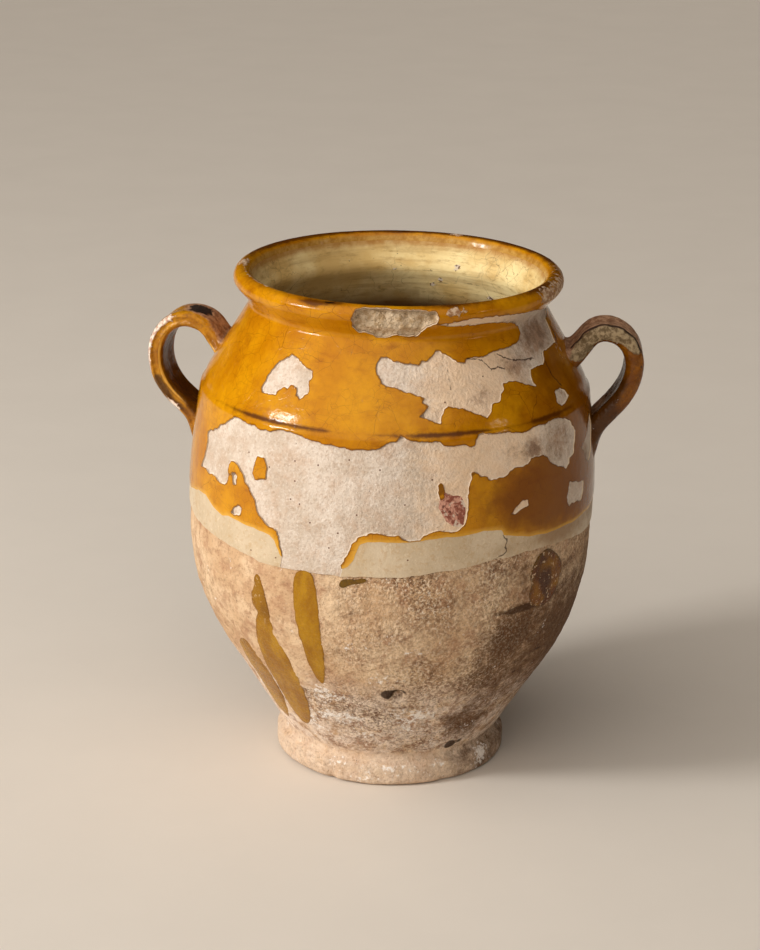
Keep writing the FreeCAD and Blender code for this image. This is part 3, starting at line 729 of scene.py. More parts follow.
def handle_paint(name, light, deep, dark):
    m = Paint(name, IOR=1.36)
    fine = m.noise(3.4, 5, 0.66, 5)
    matt = m.step(m.frayed("matt", 0.9, 5, 4, 0.66, 44), 0.3, 0.7)
    bare = m.step(m.frayed("bare", 2.4, 4, 4, 0.66, 44), 0.45, 0.6)
    buff = m.step(m.frayed("buff", 0.9, 3, 4, 0.66, 44), 0.42, 0.58)
    m.base = m.blend(m.noise(15, 5, 0.62), 0.38, 0.62, deep, light)
    m.coat(fine, 0.45, 0.72, 0.55, dark)
    m.lay(m.cracks(7, 0.2), 0.5, (60, 32, 8))
    m.coat(m.frayed("dark", 1.0, 8, 4, 0.66, 44), 0.2, 0.9, 0.85, (62, 34, 6))
    # Painted highlights along the ridges
    m.coat(m.frayed("ridge_highlight", 0.5, 4, 4, 0.66, 55), 0.35, 0.8, 0.8, (232, 180, 78))
    m.lay(matt, 0.92, m.blend(fine, 0.4, 0.6, (188, 148, 118), (140, 102, 76)))
    m.coat(m.frayed("burn", 2.4, 2.6, 4, 0.66, 44), 0.5, 0.8, 0.96, (26, 17, 14))
    m.lay(bare, 1, m.blend(m.noise(2.4, 3, 0.6, 3), 0.44, 0.58, (236, 222, 206), (196, 158, 136)))
    m.lay(buff, 1, m.blend(m.noise(3.0, 4, 0.66, 19), 0.4, 0.6, (176, 154, 120), (112, 92, 64)))
    m.coat(m.attribute("crack"), 0.4, 0.8, 0.92, (46, 28, 18))
    dry = m.math("MAXIMUM", m.math("MAXIMUM", matt, bare), buff)
    return m.done(
        m.math("ADD", m.step(fine, 0.3, 0.8, 0.1, 0.28), m.both(dry, 0.5)), (m.noise(6, 4, 0.6, 2), 1.5),
        (m.both(dry, m.noise(2.4, 3, 0.6, 9)), 0.7), (fine, 0.15), (m.attribute("crack"), -0.6))


def run_paint():
    m = Paint("run_glaze", IOR=1.35)
    cloud = m.noise(12, 5, 0.6, 2, (1, 1, 0.4))
    fine = m.noise(1.8, 5, 0.7, 5)
    rust = m.attribute("rust")
    m.base = m.blend(cloud, 0.35, 0.68, (148, 98, 6), (176, 128, 18))
    m.coat(m.attribute("edge"), 0.3, 1, 0.5, (128, 84, 10))
    m.coat(fine, 0.6, 0.78, 0.5, (206, 166, 84))
    m.lay(rust, 0.95, m.blend(cloud, 0.42, 0.58, (66, 28, 2), (98, 46, 2)))
    m.lay(m.attribute("olive"), 0.95, m.blend(fine, 0.4, 0.6, (98, 72, 20), (66, 48, 16)))
    # Painted glints: light flecks on the rusty parts
    m.lay(m.both(m.step(m.noise(3, 3, 0.6, 55), 0.6, 0.66), rust), 0.8, (226, 196, 160))
    return m.done(m.step(fine, 0.3, 0.8, 0.14, 0.45), (m.noise(5, 3, 0.5, 9), 0.5), (fine, 0.1))


def floor_paint():
    m = Paint("plain_floor", Roughness=0.7)
    m.base = m.mix(m.noise(90, 4, 0.6), rgb(223, 216, 207), rgb(230, 223, 214))
    return m.done()


# Clay body: foot, outer wall, rim and inside, once round
COLUMNS = 384
# Distances up the wall with a row of points, as (from, to, step): closest over bare clay and at the rim
WALL_ROWS = [(6.5, 56, 1.7), (56.5, 73, 1.0), (74, 156, 1.7), (158, 282, 6.0), (283, wall_s[-1], 1.2)]
# The underside as (radius, height), and how far along the foot's profile the rest of it starts
UNDERSIDE = [(0, 0), (20, 0), (40, 0), (54, 0)]
FOOT_FROM = 60
KNOCKED_RADIUS = 91.0
# Marks on the clay, as (angle, distance up the wall, width, height, strength). The nicks and the lime
# on the foot go by their height above the table instead.
HOLE = (-79.6, 63.7)
HOLE_DEPTH = 4.2
HOLE_RADII = (2.6, 6.0)
PITS = [(-66, 36, 5, 3, 1.1), (-58, 60, 4, 3, 0.8), (-100, 92, 3, 2, 0.7), (-72, 118, 2.5, 2, 0.6)]
NICKS = [(-112, 3, 5, 5, 1.8), (-52, 2, 7, 4, 1.2)]
LIME = [
    (-106, 58, 13, 9, 1.2), (-108, 38, 14, 5, 1.2), (-97, 38, 12, 7, 0.9), (-92, 24, 12, 5, 1.0),
    (-76, 98, 10, 6, 0.7), (-118, 26, 16, 12, 0.9), (-76, 32, 14, 9, 0.8), (-60, 12, 12, 7, 1.0),
    (-94, 102, 5, 3, 0.7), (-74, 44, 22, 10, 0.9), (-84, 78, 16, 6, 0.6), (-60, 90, 8, 6, 0.5),
    (-45, 22, 10, 6, 0.7), (-140, 40, 20, 20, 0.7), (0, 40, 60, 20, 0.5), (90, 40, 90, 24, 0.6),
    (-200, 40, 60, 20, 0.6), (-70, 128, 14, 6, 0.5)]
# Painted shadow in the hole, darkest on its upper-left side, and in the pits, with a few dark spots
PIT_SHADE_AND_SPOTS = [
    (-82.6, 64.6, 4.6, 3.6, 1.8), (-79.4, 66.6, 5.2, 2.8, 1.5), (-49.5, 6.5, 6, 5, 1.5),
    (-44, 9, 3.5, 2, 0.9), (-66, 36, 3, 1.6, 0.6), (-58, 60, 2.4, 2, 0.6), (-36, 70, 3, 1.6, 0.8),
    (-28, 84, 6, 1.8, 0.8), (-33, 77, 4, 1.6, 0.7)]
TAIL = [
    (-36.5, 121.4, 6, 3.0, 1.1), (-41.0, 120.4, 6, 2.6, 1.1), (-45.0, 120.2, 5, 2.2, 1.0),
    (-49.5, 120.8, 5, 1.6, 0.8)]
FOOT_LIME = [
    (-29, 11, 9, 6, 1.5), (-112, 12.5, 24, 2.5, 0.6), (-80, 12.8, 26, 2.2, 0.5), (-58, 13, 14, 2.5, 0.6),
    (-80, 6, 90, 8, 0.35)]
# Soot, with painted shade on the side away from the light
SOOT_AND_SHADE = [
    (-35, 134, 20, 18, 0.8), (-46, 104, 18, 16, 0.6), (-24, 100, 24, 26, 0.7), (-52, 84, 16, 18, 0.6),
    (-44, 102, 15, 13, 0.8), (-48, 30, 18, 14, 0.8), (-40, 66, 22, 26, 0.75), (-24, 76, 36, 60, 0.7),
    (-46, 24, 20, 14, 0.7), (4, 80, 50, 80, 0.9), (-58, 62, 12, 12, 0.45), (-68, 88, 14, 10, 0.4),
    (-56, 36, 9, 6, 0.9), (-70, 120, 20, 16, 0.3), (10, 90, 50, 40, 0.8), (-48, 146, 16, 8, 0.6),
    (60, 100, 60, 40, 0.35), (-150, 110, 20, 30, 0.25), (-210, 90, 50, 40, 0.3), (-98, 46, 10, 6, 0.5),
    (-90, 12, 16, 6, 0.4), (-104, 30, 10, 5, 0.4), (-93, 128, 12, 10, 0.3), (-80, 50, 16, 8, 0.35),
    (-96, 98, 8, 5, 0.35), (-49, 54, 12, 24, 0.5), (-42, 110, 12, 16, 0.4)]


def spun(*columns):
    """Each value along a profile repeated once round the pot, after the angles."""
    turns = np.arange(COLUMNS) * 360 / COLUMNS + BACK_DEG - 360
    grids = [np.meshgrid(turns, column) for column in columns]
    return [grids[0][0]] + [grid[1] for grid in grids]


def bands(first, last):
    """Faces between rings of points, from the first ring to the last."""
    n = COLUMNS
    return [
        (i * n + j, i * n + (j + 1) % n, (i + 1) * n + (j + 1) % n, (i + 1) * n + j)
        for i in range(first, last) for j in range(n)]


def cap(ring, middle):
    """Faces from a ring in to a point on the axis."""
    n = COLUMNS
    return [(ring * n + j, ring * n + (j + 1) % n, middle) for j in range(n)]


foot = rounded(FOOT, 1.3)[:-4]
foot = np.concatenate([UNDERSIDE, foot[along(foot) > FOOT_FROM]])
wall_rows = np.concatenate([np.arange(*span) for span in WALL_ROWS])
shell = np.stack([np.interp(wall_rows, wall_s, wall[:, k]) for k in (0, 1)], axis=1)
hollow = rounded(INSIDE, 6.0)
profile = np.concatenate([foot, shell, hollow])
profile_s = np.concatenate([np.full(len(foot), -1.0), wall_rows, np.full(len(hollow), -1.0)])
deg, r, z, s, nr, nz = spun(*profile.T, profile_s, *outward(profile).T)
flat = np.stack([deg * MM_PER_DEG, s], axis=-1).reshape(-1, 2)
by_height = np.stack([deg.ravel() * MM_PER_DEG, z.ravel()], axis=1)
p = upright(deg, r, z)
on_shell = s > 0

# Relief: throwing marks, worn clay below the coats, the hole and pits, the broken rim, nicks in the foot
gap = ragged(BROKEN_RIM, True, 0.7, 0.7, 3.4)
depth_in = np.where(inside(flat, gap), distance(flat, gap), 0).reshape(deg.shape)
hole_at = np.array([(HOLE[0] * MM_PER_DEG, HOLE[1])])
low_wall = np.where(on_shell, 1 - ease(s, 140, 150), 0.6)
grain = 0.3 * noise(p, 9, 3, 2.2) + 0.14 * noise(p, 3.4, 2, 4.4)
up = uneven(deg, r, z) * ease(r, 20, 60) + low_wall * grain
up = up - 0.5 * (1 - low_wall) * (s < 280)
pit = spots(flat, PITS) + HOLE_DEPTH * (1 - ease(distance(flat, hole_at), *HOLE_RADII))
up = up - pit.reshape(deg.shape) * on_shell
breach = np.maximum(0, r + nr * up - (KNOCKED_RADIUS + 0.9 * noise(p, 3.0, 3, 6.6)))
scoop = np.where(depth_in > 0, breach * ease(depth_in, 0, 1.6) + 0.9 * ease(depth_in, 0, 1.4), 0)
nick = np.where(s < 0, spots(by_height, NICKS).reshape(deg.shape) * (z < 16) * (r > 60), 0)
points = stand(deg, r + nr * up - scoop - nick, np.where(z < 0.01, z, z + nz * up)).reshape(-1, 3)
rows = len(profile)
faces = bands(1, rows - 2) + [(b, a, c) for a, b, c in cap(1, 0)] + cap(rows - 2, (rows - 1) * COLUMNS)

turn = (deg + 180) % 360 - 180
from_left = np.where(s < 62, ease(turn, -140, -112), ease(turn, -116, -84))
right_share = (1 - 0.5 * ease(turn, -52, -34)) * (1 - ease(turn, 60, 100))
coarse_grain = np.where(on_shell, from_left * right_share, 0.3) * (0.75 + 0.5 * noise(p, 26, 2, 1.9))
off_wall = flat[:, 1] < 0
body = mesh_object("clay_body", points, faces, attributes={
    "lime": np.where(off_wall, 0.1 + spots(by_height, FOOT_LIME), spots(flat, LIME)),
    # Soot and painted shade: the foot darkens on its side away from the light
    "soot_and_shade": np.where(off_wall, 0.9 * between(turn.ravel(), -64, -30, 30, 90), spots(flat, SOOT_AND_SHADE)),
    "pit": spots(flat, PIT_SHADE_AND_SPOTS),
    "tail": spots(flat, TAIL),
    "coarse": coarse_grain.ravel(),
    "low": np.where(off_wall, 0.2, 1 - ease(flat[:, 1], 45, 84)),
    "foot": off_wall * (z.ravel() < 30) * (r.ravel() > 40) + 0.0,
    "broken": ease(depth_in, 0, 0.8).ravel()})
finish_piece(body, ["vessel"], "clay", clay_paint())

# Coats: slip from its edge to the lip, and amber glaze wherever it hasn't flaked off
COAT_FROM = 143
COAT_SPACING = 2.1
SPECK_RADIUS = 1.2
# How far the broken edges of the coats reach down, counted from the clay
SLIP_DOWN = -0.3
AMBER_DOWN = SLIP_UP - 0.25
RUN_DOWN = -0.5
# Dirt and painted shadow lie along the left and upper edges of the flakes, away from the light; their right
# and lower edges are fresh breaks with a painted highlight
TO_LOWER_RIGHT = np.array((1.7, -0.5))
# Specks, as (angle, distance up the wall), and marks like those on the clay
SPECKS = [
    (-109.8, 211.6), (-102.7, 211.4), (-93.9, 216.2), (-109.3, 200.3), (-110.2, 189.6), (-107.4, 187.7),
    (-91.1, 185.4), (-122.6, 153.9), (-98.3, 164.8), (-85.3, 211.6), (-78.3, 192.1), (-60, 240),
    (-114, 153.5), (-77, 160), (-118, 205), (-71, 206), (-96, 174), (-104, 178), (-126, 210),
    (-66.4, 249.4), (-52, 262)]
STAINS = [
    (-30, 162, 24, 9, 0.75), (0, 162, 60, 12, 0.7), (-50, 160, 12, 8, 0.4), (-40, 288, 16, 8, 0.9),
    (-20, 276, 18, 10, 0.9), (-38, 262, 12, 7, 0.7), (-53, 252, 7, 5, 0.55), (-75, 160, 12, 6, 0.3),
    (-39, 215, 6, 8, 0.95), (-46, 216, 10, 9, 0.45), (-29, 215, 10, 12, 0.4), (-110, 170, 10, 7, 0.2),
    (-12, 200, 8, 12, 0.7), (-20, 240, 6, 6, 0.6), (-24, 216, 26, 16, 0.4), (-57, 246, 10, 8, 0.4),
    (-36, 272, 30, 12, 0.35), (-8, 284, 40, 16, 0.4)]
BURNS = [
    (-112, 309, 12, 2.5, 1.0), (-104, 311, 6, 2, 0.7), (97, 311, 12, 3, 1.0), (60, 312, 60, 3, 0.5),
    (140, 312, 60, 3, 0.6), (-60, 312, 24, 4, 0.55), (-20, 312, 30, 4, 0.6), (-40, 302, 26, 5, 0.4),
    (6, 215, 18, 16, 0.35), (-185, 225, 16, 18, 0.3)]
BURNS += [(k, 223, 22, 9, 0.28) for k in range(-180, 180, 37)]
# Smoke and painted shade on the amber, mostly on the side away from the light
SMOKE_AND_SHADE = [
    (0, 230, 110, 60, 0.9), (6, 186, 104, 34, 0.9), (-36, 186, 30, 16, 0.8), (-24, 262, 20, 16, 0.5),
    (-178, 200, 30, 40, 0.3)]
CHAR = [
    (-106.3, 310.4, 5.5, 1.0, 1.2), (97, 311.5, 9, 2.0, 1.2), (-150, 312, 6, 1.0, 0.7),
    (40, 312, 10, 1.4, 0.7)]
WORN = [
    (-62, 307, 8, 3, 1.0), (-20, 306, 14, 6, 0.8), (-6, 303, 16, 9, 0.9), (-176, 311, 9, 4, 0.8),
    (75, 312, 8, 3, 0.9), (-150, 313.5, 60, 1.4, 0.8), (-8, 262, 8, 10, 0.45), (12, 306, 20, 8, 0.7)]

left, right = (BACK_DEG - 360) * MM_PER_DEG, BACK_DEG * MM_PER_DEG
flake_loops = [ragged(line, True, 0.6, 0.6, 2.8) for line in FLAKES]
island_loops = [ragged(line, True, 0.6, 0.6, 2.8) for line in ISLANDS]
crack_lines = [ragged(line, False, 0.7, 0.5, 2.5) for _, line in CRACKS]
spall = ragged(SPALL, True)
amber_line = ragged(AMBER_EDGE, False, 1.3, 0.4, 7)
slip_line = ragged(SLIP_EDGE, False, 1.3, 0.6, 6)
every_break = np.concatenate(flake_loops + island_loops + [gap])
speck_at = np.array(SPECKS) * (MM_PER_DEG, 1)
spin = np.arange(6) * math.pi / 3
speck_rings = speck_at[:, None] + SPECK_RADIUS * np.stack([np.cos(spin), np.sin(spin)], axis=1)[None]


def in_flakes(points2d):
    """Which points lie where the amber glaze has flaked off."""
    hit = np.zeros(len(points2d), bool)
    for loop in flake_loops:
        hit |= inside(points2d, loop)
    for loop in island_loops:
        hit &= ~inside(points2d, loop)
    return hit


def above(points2d, line):
    return points2d[:, 1] > np.interp(points2d[:, 0], line[:, 0], line[:, 1])


def crack_share(points2d):
    share = np.zeros(len(points2d))
    for (dark, _), line in zip(CRACKS, crack_lines):
        share = np.maximum(share, dark * (1 - ease(distance(points2d, line), 0, 1.0)))
    return share


flat, triangles = fill(
    flake_loops + island_loops + [gap, spall], [amber_line, slip_line] + crack_lines, (left, COAT_FROM),
    (right, wall_s[-1]), COAT_SPACING, extra=np.concatenate([speck_at, speck_rings.reshape(-1, 2)]))
middle = flat[triangles].mean(1)
whole = ~inside(middle, gap)
bare = in_flakes(middle)
closed = weld_back(flat, triangles, left, right)

# Slip, matt where the glaze is off and creamy in the band below it, with a spalled patch
take = above(middle, slip_line) & whole
slip_up = SLIP_UP * (0.3 + 0.7 * ease(distance(flat, slip_line), 0, 1.5))
slip_up = slip_up - 0.5 * inside(flat, spall) * ease(distance(flat, spall), 0, 1.5)
points, faces, normals, at, _, count = skin(flat, closed[take], slip_up, SLIP_DOWN)
slots = np.zeros(len(faces), int)
slots[:count] = np.where(inside(middle, spall)[take], 2, np.where(bare[take], 0, 1))
by_break = 1 - ease(distance(at, every_break), 0.1, 1.5)
# Dirt and painted shadow on the flake edges away from the light, painted highlight on the fresh edges
# facing it
dirt_and_edge_shadow = by_break * ~in_flakes(at - TO_LOWER_RIGHT)
fresh_and_lit_edge = by_break * ~in_flakes(at + TO_LOWER_RIGHT)
slip = mesh_object("slip_skin", points, faces, slots, normals, {
    "stain_and_shade": np.clip(spots(at, STAINS), 0, 1),
    # Painted light with a warm tint, right of the front
    "warm_painted_light": 0.95 * between(at[:, 0] / MM_PER_DEG, -90, -60, -46, -26),
    "dirt_and_edge_shadow": dirt_and_edge_shadow,
    "fresh_and_lit_edge": fresh_and_lit_edge * (1 - dirt_and_edge_shadow),
    "specks": 1 - ease(distance(at, speck_at), 0, 1.15),
    "crack": crack_share(at)})
finish_piece(slip, ["slip_coat"], "slip", slip_paint(), cream_paint(), spall_paint())

# Amber glaze, darker along the ledge and where it is burnt, darker with smoke and painted shade on the side
# away from the light, worn off the rim in places
AMBER_LOW = SLIP_UP + 0.12
glaze_up = AMBER_LOW + (GLAZE_UP - AMBER_LOW) * ease(distance(flat, amber_line), 0, 2.2)
take = above(middle, amber_line) & whole & ~bare
points, faces, normals, at, torn, _ = skin(flat, closed[take], glaze_up, AMBER_DOWN)
angle, height = at[:, 0] / MM_PER_DEG, at[:, 1]
off_back = np.abs((angle - BACK_DEG + 180) % 360 - 180)
ledge = (0.5 * bell(height, 231.5, 3) + 0.8 * bell(height, 230.9, 1.1)) * between(angle, -152, -128, 20, 80)
band = (ledge + 0.3 * bell(height, 288.5, 4)) * (0.55 + 0.35 * noise(sheet(at), 30, 2))
rim_band = 0.35 * between(height, 305, 311, 313.5, 317)
rim_band = rim_band + 0.5 * bell(height, 311.5, 2.2) * ease(off_back, 110, 60)
glaze = mesh_object("amber_skin", points, faces, np.zeros(len(faces), int), normals, {
    "thin": 1 - ease(distance(at, amber_line), 0, 3.0),
    "torn": torn * ease(distance(at, amber_line), 1, 3),
    "burn": spots(at, BURNS) + band + rim_band,
    "char": spots(at, CHAR),
    "lap": ease(height, 313.5, 318.5),
    "worn": spots(at, WORN),
    "shade": spots(at, SMOKE_AND_SHADE),
    "crack": crack_share(at),
    "break": 1 - ease(distance(at, every_break), 0, 1.6)})
finish_piece(glaze, ["outer_glaze", "glaze_island"], "amber_glaze", amber_paint())

# Runs of glaze on the bare clay, thick in the middle and at their lower ends
run_glaze = run_paint()
for name, outline in RUNS.items():
    loop = ragged(outline, True, 0.7, 0.45, 5, 2)
    low, high = loop.min(0) - 1, loop.max(0) + 1
    flat, triangles = fill([loop], [], tuple(low), tuple(high), 1.0)
    keep = inside(flat[triangles].mean(1), loop)
    lumps = 1 + 0.3 * noise(sheet(flat), 6, 2, 3.3)
    lower_end = 0.75 + 0.25 * ease(-flat[:, 1], -loop[:, 1].mean(), -low[1])
    run_up = 0.12 + 0.8 * ease(distance(flat, loop), 0, 3.2) * lumps * lower_end
    points, faces, normals, at, *_ = skin(flat, triangles[keep], run_up, RUN_DOWN)
    edge_share = 1 - ease(distance(at, loop), 0, 1.8)
    flow = noise(sheet(at), 7, 3, 1.4)
    rust, olive = 0 * flow, 0 * flow
    if name == "run_long":
        rust = 0.42 * ease(at[:, 1], 105, 118)
    elif name == "dash":
        olive = np.clip(0.85 + 0.15 * flow, 0, 1)
    elif name == "blob":
        rust = np.clip(0.85 + 0.5 * flow, 0, 1)
        olive = 0.7 * edge_share
    run = mesh_object(name + "_glaze", points, faces, None, normals, {
        "edge": edge_share, "rust": rust, "olive": olive})
    finish_piece(run, [name], "run_glaze", run_glaze)

# Lining: from the lap inside the lip down to the floor. Marks are by distance in from the lap.
CHIPS = [
    (72, 14, 3.2, 2, 1.1), (80, 24, 2.4, 1.6, 1.1), (84, 28, 3, 2, 1.1), (40, 30, 5, 2.4, 1.1),
    (30, 22, 3.4, 1.8, 1), (100, 18, 2, 1.4, 1), (58, 33, 4, 2, 1.1), (120, 12, 2, 1.2, 0.8)]
INNER_CRACKS = [
    [(118, 26), (104, 27), (92, 25), (80, 26), (66, 24), (52, 26), (38, 29)],
    [(140, 16), (124, 13), (112, 9)], [(96, 14), (88, 17), (76, 16)]]
lining = rounded(INSIDE, 2.4)
lining_t = along(lining)
lining_rows = np.concatenate([np.arange(0, 70, 2.2), np.arange(72, lining_t[-1] - 2, 5.5), [lining_t[-1]]])
columns = [np.interp(lining_rows, lining_t, values) for values in (*lining.T, *outward(lining).T)]
deg, r, z, nr, nz, t = spun(*columns, lining_rows)
p = upright(deg, r, z)
up = LINING_UP + (uneven(deg, r, z) + 0.25 * noise(p, 22, 2, 5.1)) * ease(r, 15, 40) + 0.1 * np.sin(z / 2.1)
points = stand(deg, r + nr * up, z + nz * up).reshape(-1, 3)
rows = len(lining_rows)
faces = bands(0, rows - 2) + cap(rows - 2, (rows - 1) * COLUMNS)
flat = np.stack([deg * MM_PER_DEG, t], axis=-1).reshape(-1, 2)
inner_lines = np.concatenate([ragged(line, False, 0.7, 0.8, 5) for line in INNER_CRACKS])
streaks = noise(sheet(flat / (60, 9)), 1, 3, 4.2)
inner = mesh_object("lining_skin", points, faces, attributes={
    # Painted shade: darker deeper in from the lap
    "stain_and_shade": np.clip(0.95 * ease(flat[:, 1] + 5 * streaks, 30, 48), 0, 1),
    "lip": 0.75 * (1 - ease(flat[:, 1], 0, 7)),
    "crack": 1 - ease(distance(flat, inner_lines), 0, 1.8),
    "dull": 1 - ease(flat[:, 1], 13, 19),
    "chips": spots(flat, CHIPS)})
finish_piece(inner, ["inner_glaze"], "cream_glaze", lining_paint())

# Handles
STRAP_ROWS = 190
STRAP_COLUMNS = 72
ROOT_SHARE = 0.22
ROOT_SWELL = 3.2
ROOT_SWELL_REACH = 2.6
# Marks, as (share of the loop, turn round the strap, length, width in degrees, strength). Turn 90 is the
# face towards the finger hole and 270 the outer face.
LEFT_MARKS = {
    "matt": [(0.06, 290, 0.1, 50, 1.2), (0.18, 272, 0.1, 52, 1.2), (0.3, 262, 0.06, 40, 0.9)],
    "burn": [(0.3, 272, 0.03, 20, 1.5), (0.275, 264, 0.022, 14, 0.8), (0.318, 258, 0.016, 9, 0.8)],
    "bare": [
        (0.41, 334, 0.05, 22, 1.3), (0.5, 328, 0.05, 17, 1.3), (0.58, 322, 0.04, 13, 1.2),
        (0.755, 336, 0.035, 18, 1.2), (0.12, 335, 0.02, 10, 0.5)],
    "dark": [
        (0.6, 80, 0.3, 50, 0.9), (0.8, 70, 0.16, 60, 0.8), (0.665, 346, 0.045, 24, 1.5),
        (0.92, 0, 0.05, 60, 0.5), (0.76, 350, 0.06, 12, 0.8), (0.5, 350, 0.1, 8, 0.35),
        (0.3, 290, 0.04, 20, 0.5), (0.31, 246, 0.05, 26, 0.9)],
    # Painted highlights along the ridges
    "ridge_highlight": [
        (0.16, 26, 0.05, 12, 0.8), (0.66, 28, 0.14, 9, 1.0), (0.5, 30, 0.1, 9, 0.6),
        (0.78, 334, 0.08, 7, 0.8), (0.4, 8, 0.1, 16, 0.5)]}
RIGHT_MARKS = {
    "matt": [(0.16, 250, 0.16, 70, 1.2), (0.34, 250, 0.1, 60, 1.0), (0.8, 80, 0.16, 40, 0.7)],
    "burn": [(0.5, 240, 0.02, 40, 0.8)],
    "buff": [(0.17, 182, 0.07, 40, 1.1), (0.3, 186, 0.09, 38, 1.2), (0.4, 205, 0.05, 30, 1.0)],
    "dark": [
        (0.82, 180, 0.16, 100, 1.1), (0.62, 150, 0.08, 30, 0.6), (0.5, 90, 0.3, 50, 0.8),
        (0.2, 130, 0.1, 26, 0.5)],
    # Painted highlight on the front edge
    "ridge_highlight": [(0.52, 196, 0.05, 16, 0.35)],
    "crack": [(0.14 + 0.018 * k, 226 + 5 * math.sin(1.9 * k), 0.014, 5, 1.2) for k in range(18)]}


def smooth_line(points, count):
    """Evenly spaced points on a smooth curve through the given ones."""
    points = np.array(points, float)
    n = len(points)
    h = np.diff(along(points))
    m = np.zeros((n, n))
    right_side = np.zeros((n, 2))
    m[0, 0] = m[-1, -1] = 1
    for i in range(1, n - 1):
        m[i, i - 1:i + 2] = h[i - 1], 2 * (h[i - 1] + h[i]), h[i]
        right_side[i] = 6 * ((points[i + 1] - points[i]) / h[i] - (points[i] - points[i - 1]) / h[i - 1])
    curve = np.linalg.solve(m, right_side)
    fine = []
    for i in range(n - 1):
        for b in np.linspace(0, h[i], 24, endpoint=i == n - 2):
            a = h[i] - b
            fine.append(
                (curve[i] * a ** 3 + curve[i + 1] * b ** 3) / (6 * h[i])
                + (points[i] / h[i] - curve[i] * h[i] / 6) * a
                + (points[i + 1] / h[i] - curve[i + 1] * h[i] / 6) * b)
    fine = np.array(fine)
    t = along(fine)
    at = np.linspace(0, t[-1], count)
    return np.stack([np.interp(at, t, fine[:, 0]), np.interp(at, t, fine[:, 1])], axis=1)


def strap(name, at_deg, half, loop, marks, material, seed, groove=0.0):
    """A pulled handle: hollow-faced between two thick edges, run out onto the wall at its roots."""
    line = smooth_line(loop, STRAP_ROWS)
    step = np.gradient(line, axis=0)
    step /= lengths(step)
    away = np.stack([step[:, 1], -step[:, 0]], axis=1)
    share = np.linspace(0, 1, STRAP_ROWS)
    start = np.clip(1 - share / ROOT_SHARE, 0, 1) ** 2
    end = np.clip(1 - (1 - share) / ROOT_SHARE, 0, 1) ** 2

    # The section: a soft oblong, hollow along its middle, with a groove along the left handle's front edge
    a = np.arange(STRAP_COLUMNS) * 2 * math.pi / STRAP_COLUMNS
    w = np.sign(np.cos(a)) * np.abs(np.cos(a)) ** 0.62
    t = np.sign(np.sin(a)) * np.abs(np.sin(a)) ** 0.72
    dip = 0.2 * bell(w, 0, 0.42) - 0.1 * bell(np.abs(w), 0.78, 0.16)
    shape = t[None] * (1 - dip[None] * (1 - np.maximum(start, end))[:, None])
    w = w * (1 - 0.1 * groove * np.exp(-((a + math.pi) % (2 * math.pi) - math.pi) ** 2 / 0.05))
    half_width = STRAP_HALF_WIDTH * (1 + 0.5 * start + 0.15 * end)
    thick = half * (1 + 0.35 * start)
    middle_out = line[:, 0, None]
    middle_up = line[:, 1, None]
    out = middle_out + away[:, 0, None] * thick[:, None] * shape
    height = middle_up + away[:, 1, None] * thick[:, None] * shape
    side = half_width[:, None] * w[None] + 0 * out

    # Where it meets the wall the strap spreads and runs out
    top = np.argmax(wall[:, 1])
    reach = np.hypot(out, side) - np.interp(height, wall[:top, 1], wall[:top, 0])
    swell = ROOT_SWELL * np.exp(-np.clip(reach, -1.5, 40) / ROOT_SWELL_REACH) * np.where(reach < 14, 1, 0)
    swell = swell * np.maximum(ease(-share, -0.3, -0.05), ease(share, 0.75, 0.95))[:, None]
    rise = height - middle_up
    spread = np.sqrt(side ** 2 + rise ** 2 + 1e-9)
    side, height = side + side / spread * swell, height + rise / spread * swell

    # Hand-made lumps, and the strap turned to its place round the pot
    p = np.stack([out, side, height], axis=-1)
    grow = (0.28 * noise(p, 14, 2, seed) + 0.14 * noise(p, 4, 3, seed + 2)) / 10
    out = out + (out - middle_out) * grow
    side = side * (1 + grow * 0.5)
    height = height + (height - middle_up) * grow
    angle = np.degrees(np.arctan2(side, out)) + at_deg
    points = stand(angle, np.hypot(out, side), height).reshape(-1, 3)
    m = STRAP_COLUMNS
    rows = STRAP_ROWS
    faces = [
        (i * m + j, (i + 1) * m + j, (i + 1) * m + (j + 1) % m, i * m + (j + 1) % m)
        for i in range(rows - 1) for j in range(m)]
    faces.append(tuple(range(m)))
    faces.append(tuple(range(rows * m - 1, (rows - 1) * m - 1, -1)))
    shares = np.repeat(share, m)
    turns = np.tile(np.degrees(a), rows)
    attributes = {}
    for key in ("matt", "burn", "bare", "buff", "dark", "ridge_highlight", "crack"):
        attributes[key] = np.zeros(len(shares))
        for share_at, turn_at, long, wide, strength in marks.get(key, ()):
            d = (turns - turn_at + 180) % 360 - 180
            attributes[key] += strength * bell(shares, share_at, long) * bell(d, 0, wide)
    handle = mesh_object(name + "_strap", points, faces, attributes=attributes)
    finish_piece(handle, [name], "handle_glaze", material)


# The right handle's material is a darker copy of the left's: painted shade on the side away from the light
handle_glaze_left = handle_paint("handle_glaze_left", (188, 128, 12), (146, 90, 5), (98, 56, 5))
handle_glaze_right = handle_paint("handle_glaze_right", (152, 92, 8), (118, 66, 6), (78, 42, 6))
strap("handle_left", *HANDLES["handle_left"], LEFT_MARKS, handle_glaze_left, 3.3, 1.0)
strap("handle_right", *HANDLES["handle_right"], RIGHT_MARKS, handle_glaze_right, 8.8)

# Floor, light and camera. Angles of view are counted from the camera's side.
FLOOR_HALF = 6.0
VIEW_DEG = 8.7
AIM_HEIGHT = 0.16
GLOW_AT = (-32, 42)
GLOW = {"From Min": 0.38, "To Min": 0.015, "To Max": 1.85}
CAMERA_FAR = 1.560
CAMERA_UP = 0.69225
PITCH = 0.3217
YAW = 0.0033
FOCAL_PX = 2751.9
IMAGE_WIDTH_PX = 760
SENSOR_WIDTH = 36.0


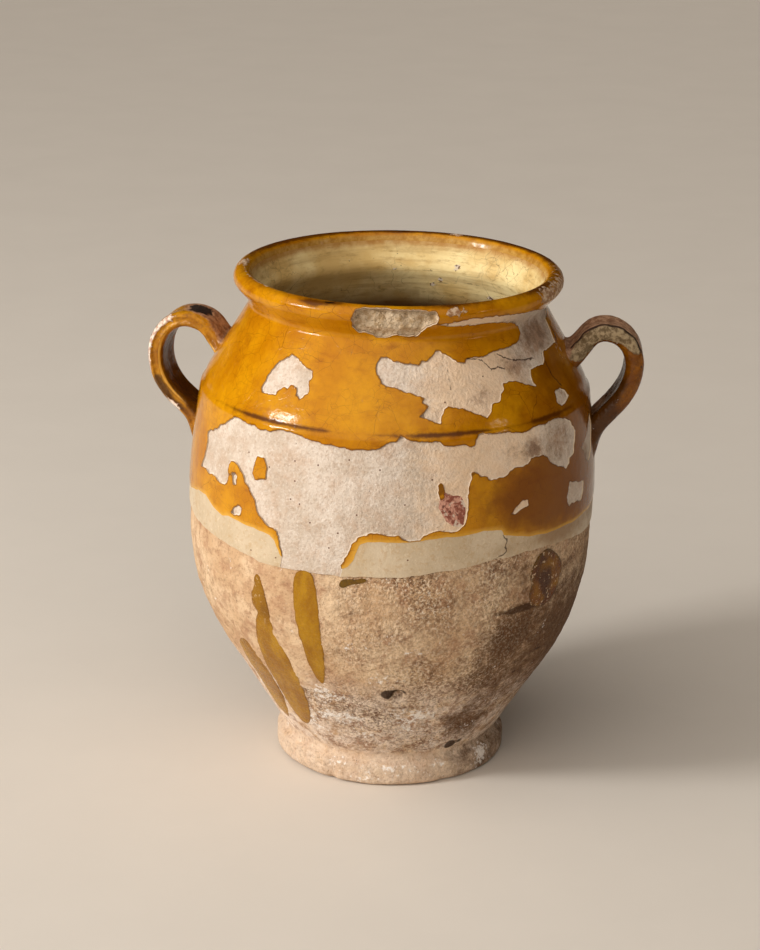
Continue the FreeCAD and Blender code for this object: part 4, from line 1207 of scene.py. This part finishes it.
def seen_from(azimuth_deg, elevation_deg, far):
    a = math.radians(azimuth_deg + VIEW_DEG)
    e = math.radians(elevation_deg)
    level = far * math.cos(e)
    return (level * math.sin(a), -level * math.cos(a), AIM_HEIGHT + far * math.sin(e))


def placed(name, data, place, turn=(0, 0, 0)):
    thing = bpy.data.objects.new(name, data)
    thing.location = place
    thing.rotation_euler = turn
    bpy.context.scene.collection.objects.link(thing)
    return thing


def lamp(name, azimuth_deg, elevation_deg, far, size, power, tint):
    data = bpy.data.lights.new(name, "AREA")
    data.shape = "RECTANGLE"
    data.size, data.size_y = size
    data.energy = power
    data.color = tint
    place = seen_from(azimuth_deg, elevation_deg, far)
    aim = Vector((0, 0, AIM_HEIGHT)) - Vector(place)
    placed(name, data, place, aim.to_track_quat("-Z", "Y").to_euler())


def studio_world():
    """A dim warm room that glows softly on one side."""
    world = bpy.data.worlds.new("studio")
    world.use_nodes = True
    nodes = world.node_tree.nodes
    links = world.node_tree.links
    way_in = nodes.new("ShaderNodeTexCoord")
    bright_side = nodes.new("ShaderNodeVectorMath")
    bright_side.operation = "DOT_PRODUCT"
    bright_side.inputs[1].default_value = Vector(seen_from(*GLOW_AT, 1.0)).normalized()
    strength = nodes.new("ShaderNodeMapRange")
    strength.interpolation_type = "SMOOTHSTEP"
    for key, value in GLOW.items():
        strength.inputs[key].default_value = value
    background = nodes["Background"]
    background.inputs[0].default_value = rgb(226, 217, 206)
    links.new(way_in.outputs["Generated"], bright_side.inputs[0])
    links.new(bright_side.outputs["Value"], strength.inputs["Value"])
    links.new(strength.outputs[0], background.inputs[1])
    return world


floor_mesh = bpy.data.meshes.new("floor")
floor_corners = [(x * FLOOR_HALF, y * FLOOR_HALF, 0) for x, y in ((-1, -1), (1, -1), (1, 1), (-1, 1))]
floor_mesh.from_pydata(floor_corners, [], [(0, 1, 2, 3)])
floor_mesh.materials.append(floor_paint())
floor = placed("floor", floor_mesh, (0, 0, 0))

lamp("window", -70, 23, 2.4, (0.5, 0.4), 38, (1.0, 0.975, 0.93))
lamp("far_window", 63, 20, 3.0, (0.26, 0.3), 2.2, (1.0, 0.96, 0.9))
bpy.context.scene.world = studio_world()

camera_data = bpy.data.cameras.new("camera")
camera_data.sensor_fit = "HORIZONTAL"
camera_data.sensor_width = SENSOR_WIDTH
camera_data.lens = FOCAL_PX / IMAGE_WIDTH_PX * SENSOR_WIDTH
camera_data.clip_end = 30
view = math.radians(VIEW_DEG)
camera_place = (CAMERA_FAR * math.sin(view), -CAMERA_FAR * math.cos(view), CAMERA_UP)
camera = placed("camera", camera_data, camera_place, (math.pi / 2 - PITCH, 0, view + YAW))
bpy.context.scene.camera = camera
bpy.context.scene.view_settings.view_transform = "Standard"
